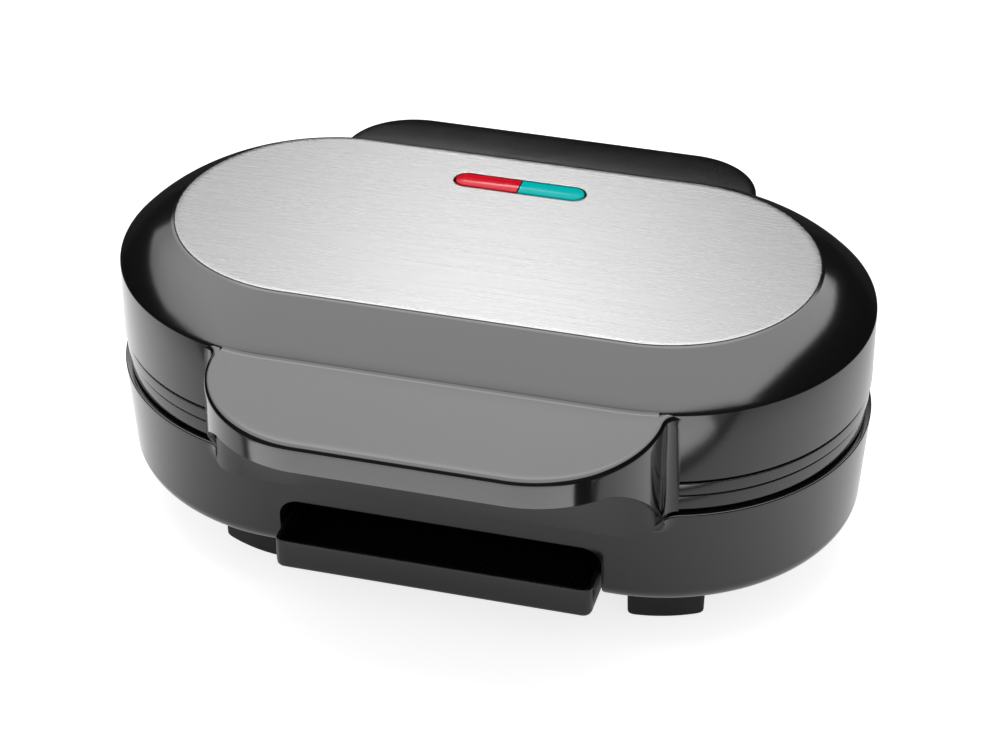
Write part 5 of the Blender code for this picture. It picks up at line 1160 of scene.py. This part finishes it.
soft_box("overhead", OVERHEAD, (*OVERHEAD[:2], 0), width=1.2, height=1.0, radiance=1.9, seen_in_gloss=False)
soft_box("low_front", LOW_FRONT, (*LOW_FRONT[:2], 1), width=0.405, height=0.3215, radiance=2.6)

reach = FLOOR_SIZE / 2
table, tree = panel("table", "pale_table", [(-reach, -reach, 0), (reach, -reach, 0), (reach, reach, 0),
                                            (-reach, reach, 0)])
path = node(tree, "LightPath").outputs
shown = calc(tree, "MAXIMUM", path["Is Camera Ray"], path["Is Transmission Ray"])
bright = calc(tree, "MULTIPLY", shown, TABLE_SHOWN)
bright = calc(tree, "MULTIPLY_ADD", path["Is Glossy Ray"], TABLE_MIRRORED, bright)
glow = node(tree, "Emission", Color=WHITE, Strength=bright)
cloth = node(tree, "BsdfDiffuse", Color=FLOOR_COLOUR)
lit = node(tree, "AddShader", n0=glow.outputs[0], n1=cloth.outputs[0])
spot = node(tree, "SeparateXYZ", Vector=node(tree, "TexCoord").outputs["Object"]).outputs
aside = calc(tree, "ABSOLUTE", spot["X"])
past_straight = calc(tree, "MAXIMUM", calc(tree, "SUBTRACT", aside, HALF_STRAIGHT), 0.0)
from_spine = distance(tree, past_straight, calc(tree, "SUBTRACT", spot["Y"], MIDDLE_Y))
far_off = ramp(tree, from_spine, SHEET_INNER, SHEET_OUTER, kind="SMOOTHSTEP")
strip = ramp(tree, apart(tree, spot["Y"], STRIP_Y), *STRIP_HALF, 1.0, 0.0)
strip = calc(tree, "MULTIPLY", strip, ramp(tree, past_straight, *STRIP_STARTS))
dark = calc(tree, "MULTIPLY", calc(tree, "MAXIMUM", strip, far_off), path["Is Glossy Ray"])
dusk = node(tree, "Emission", Color=WHITE, Strength=DUSK)
surface = node(tree, "MixShader", n0=dark, n1=lit.outputs[0], n2=dusk.outputs[0])
from_card = distance(tree, calc(tree, "SUBTRACT", aside, CARD_X), spot["Y"])
card = ramp(tree, from_card, *CARD_FADE, 1.0, 0.0, "SMOOTHSTEP")
card = calc(tree, "MULTIPLY", card, ramp(tree, spot["X"], -CARDS_MEET, CARDS_MEET, *CARD_LEVELS))
card = calc(tree, "MULTIPLY", card, path["Is Glossy Ray"])
cards = node(tree, "Emission", Color=WHITE, Strength=card)
surface = node(tree, "AddShader", n0=surface.outputs[0], n1=cards.outputs[0])
node(tree, "OutputMaterial", Surface=surface.outputs[0])

# The flag stands over the table, off the handle's right front corner, and only reflections see it.
FLAG_NEAR = (0.0974, -0.1466)
FLAG_FAR = (0.1103, -0.1322)
FLAG_LOW = 0.060
FLAG_HIGH = 0.084
FLAG_LEVEL = 0.004
flag, tree = panel("flag", "black_flag", [(*FLAG_NEAR, FLAG_LOW), (*FLAG_FAR, FLAG_LOW),
                                          (*FLAG_FAR, FLAG_HIGH), (*FLAG_NEAR, FLAG_HIGH)])
flag.visible_camera = False
flag.visible_diffuse = False
flag.visible_transmission = False
flag.visible_shadow = False
black = node(tree, "Emission", Color=WHITE, Strength=FLAG_LEVEL)
node(tree, "OutputMaterial", Surface=black.outputs[0])

# The sky's soft box lies in a plane over the grill: a place (x, y) on it is where a reflected ray meets that
# plane. Its edges slant, wings widen its back, a band in it is brighter, and a narrow tail leaves its back.
BOX_HEIGHT = 1.14
LOWEST_RISE = 0.001
BOX_BACK = 1.62
BOX_BLUR = 0.07
RIGHT_FROM, RIGHT_TO = (0.37, 1.5), (0.98, 1.16)
FRONT_SHARE, FRONT_REACH = 0.35, 0.96
SLANTS = ((-0.568, 0.823, 0.898), (0.897, 0.442, 1.803), (0.686, 0.728, 1.410))
WINGS = ((-0.52, -0.47), (2.4, -1.2))
BOX_DEPTH, BOX_LEVELS = (0.0, 1.6), (3.75, 3.0)
LEFT_FADE, LEFT_DIM = (-2.4, -0.9), 0.42
BAND_X, BAND_HALF_X = -0.2, (0.35, 0.5)
BAND_Y, BAND_HALF_Y = 0.75, (0.30, 0.45)
BAND_LEVEL = 1.6
TAIL_SLOPE = -0.268
TAIL_HALF = 0.125
TAIL_LEVEL = 24.0
TAIL_START = (BOX_BACK - 0.01, BOX_BACK + 0.05)
TAIL_END = (1.72, 1.81)
HORIZON = (0.02, 0.06)
FILL_FROM, FILL_LEVELS = (-0.6, -0.1), (0.08, 0.01)
SKY_LEVEL = 0.5
world = bpy.data.worlds.new("surroundings")
scene.world = world
world.use_nodes = True
tree = world.node_tree
tree.nodes.clear()
path = node(tree, "LightPath").outputs
way = node(tree, "SeparateXYZ", Vector=node(tree, "TexCoord").outputs["Generated"]).outputs
over = calc(tree, "DIVIDE", BOX_HEIGHT, calc(tree, "MAXIMUM", way["Z"], LOWEST_RISE))
box_x, box_y = (calc(tree, "MULTIPLY", way[axis], over) for axis in "XY")
right_edge = calc(tree, "SUBTRACT", ramp(tree, box_y, *RIGHT_FROM, *RIGHT_TO), box_x)
front_edge = calc(tree, "MULTIPLY_ADD", box_y, FRONT_SHARE, FRONT_SHARE * FRONT_REACH)
inside = calc(tree, "MINIMUM", right_edge, front_edge)
for across, ahead, offset in SLANTS:
    slant = calc(tree, "MULTIPLY_ADD", box_x, across, offset)
    slant = calc(tree, "MULTIPLY_ADD", box_y, ahead, slant)
    inside = calc(tree, "MINIMUM", inside, slant)
back_edge = calc(tree, "SUBTRACT", BOX_BACK, box_y)
for growth, offset in WINGS:
    wing = calc(tree, "MAXIMUM", calc(tree, "MULTIPLY_ADD", box_x, growth, offset), 0.0)
    back_edge = calc(tree, "ADD", back_edge, wing)
inside = calc(tree, "MINIMUM", inside, back_edge)
soft = ramp(tree, inside, -BOX_BLUR, BOX_BLUR, kind="SMOOTHSTEP")
level = ramp(tree, box_y, *BOX_DEPTH, *BOX_LEVELS)
core = calc(tree, "MULTIPLY", level, ramp(tree, box_x, *LEFT_FADE, LEFT_DIM))
band = ramp(tree, apart(tree, box_x, BAND_X), *BAND_HALF_X, BAND_LEVEL, 0.0)
deep = ramp(tree, apart(tree, box_y, BAND_Y), *BAND_HALF_Y, 1.0, 0.0)
core = calc(tree, "MULTIPLY_ADD", band, deep, core)
tail = apart(tree, calc(tree, "DIVIDE", box_x, box_y), TAIL_SLOPE)
tail = ramp(tree, tail, 0.0, TAIL_HALF, TAIL_LEVEL, 0.0, "SMOOTHSTEP")
tail = calc(tree, "MULTIPLY", tail, ramp(tree, box_y, *TAIL_START))
tail = calc(tree, "MULTIPLY", tail, ramp(tree, box_y, *TAIL_END, 1.0, 0.0))
box = calc(tree, "MULTIPLY_ADD", soft, core, tail)
box = calc(tree, "MULTIPLY", box, ramp(tree, way["Z"], *HORIZON))
gloss = calc(tree, "ADD", box, ramp(tree, way["Y"], *FILL_FROM, *FILL_LEVELS))
gloss = calc(tree, "MULTIPLY", gloss, path["Is Glossy Ray"])
plain = calc(tree, "MULTIPLY", path["Is Diffuse Ray"], SKY_LEVEL)
seen = calc(tree, "MAXIMUM", path["Is Camera Ray"], path["Is Transmission Ray"])
strength = calc(tree, "MAXIMUM", calc(tree, "ADD", gloss, plain), seen)
sky = node(tree, "Background", Color=WHITE, Strength=strength)
node(tree, "OutputWorld", Surface=sky.outputs[0])
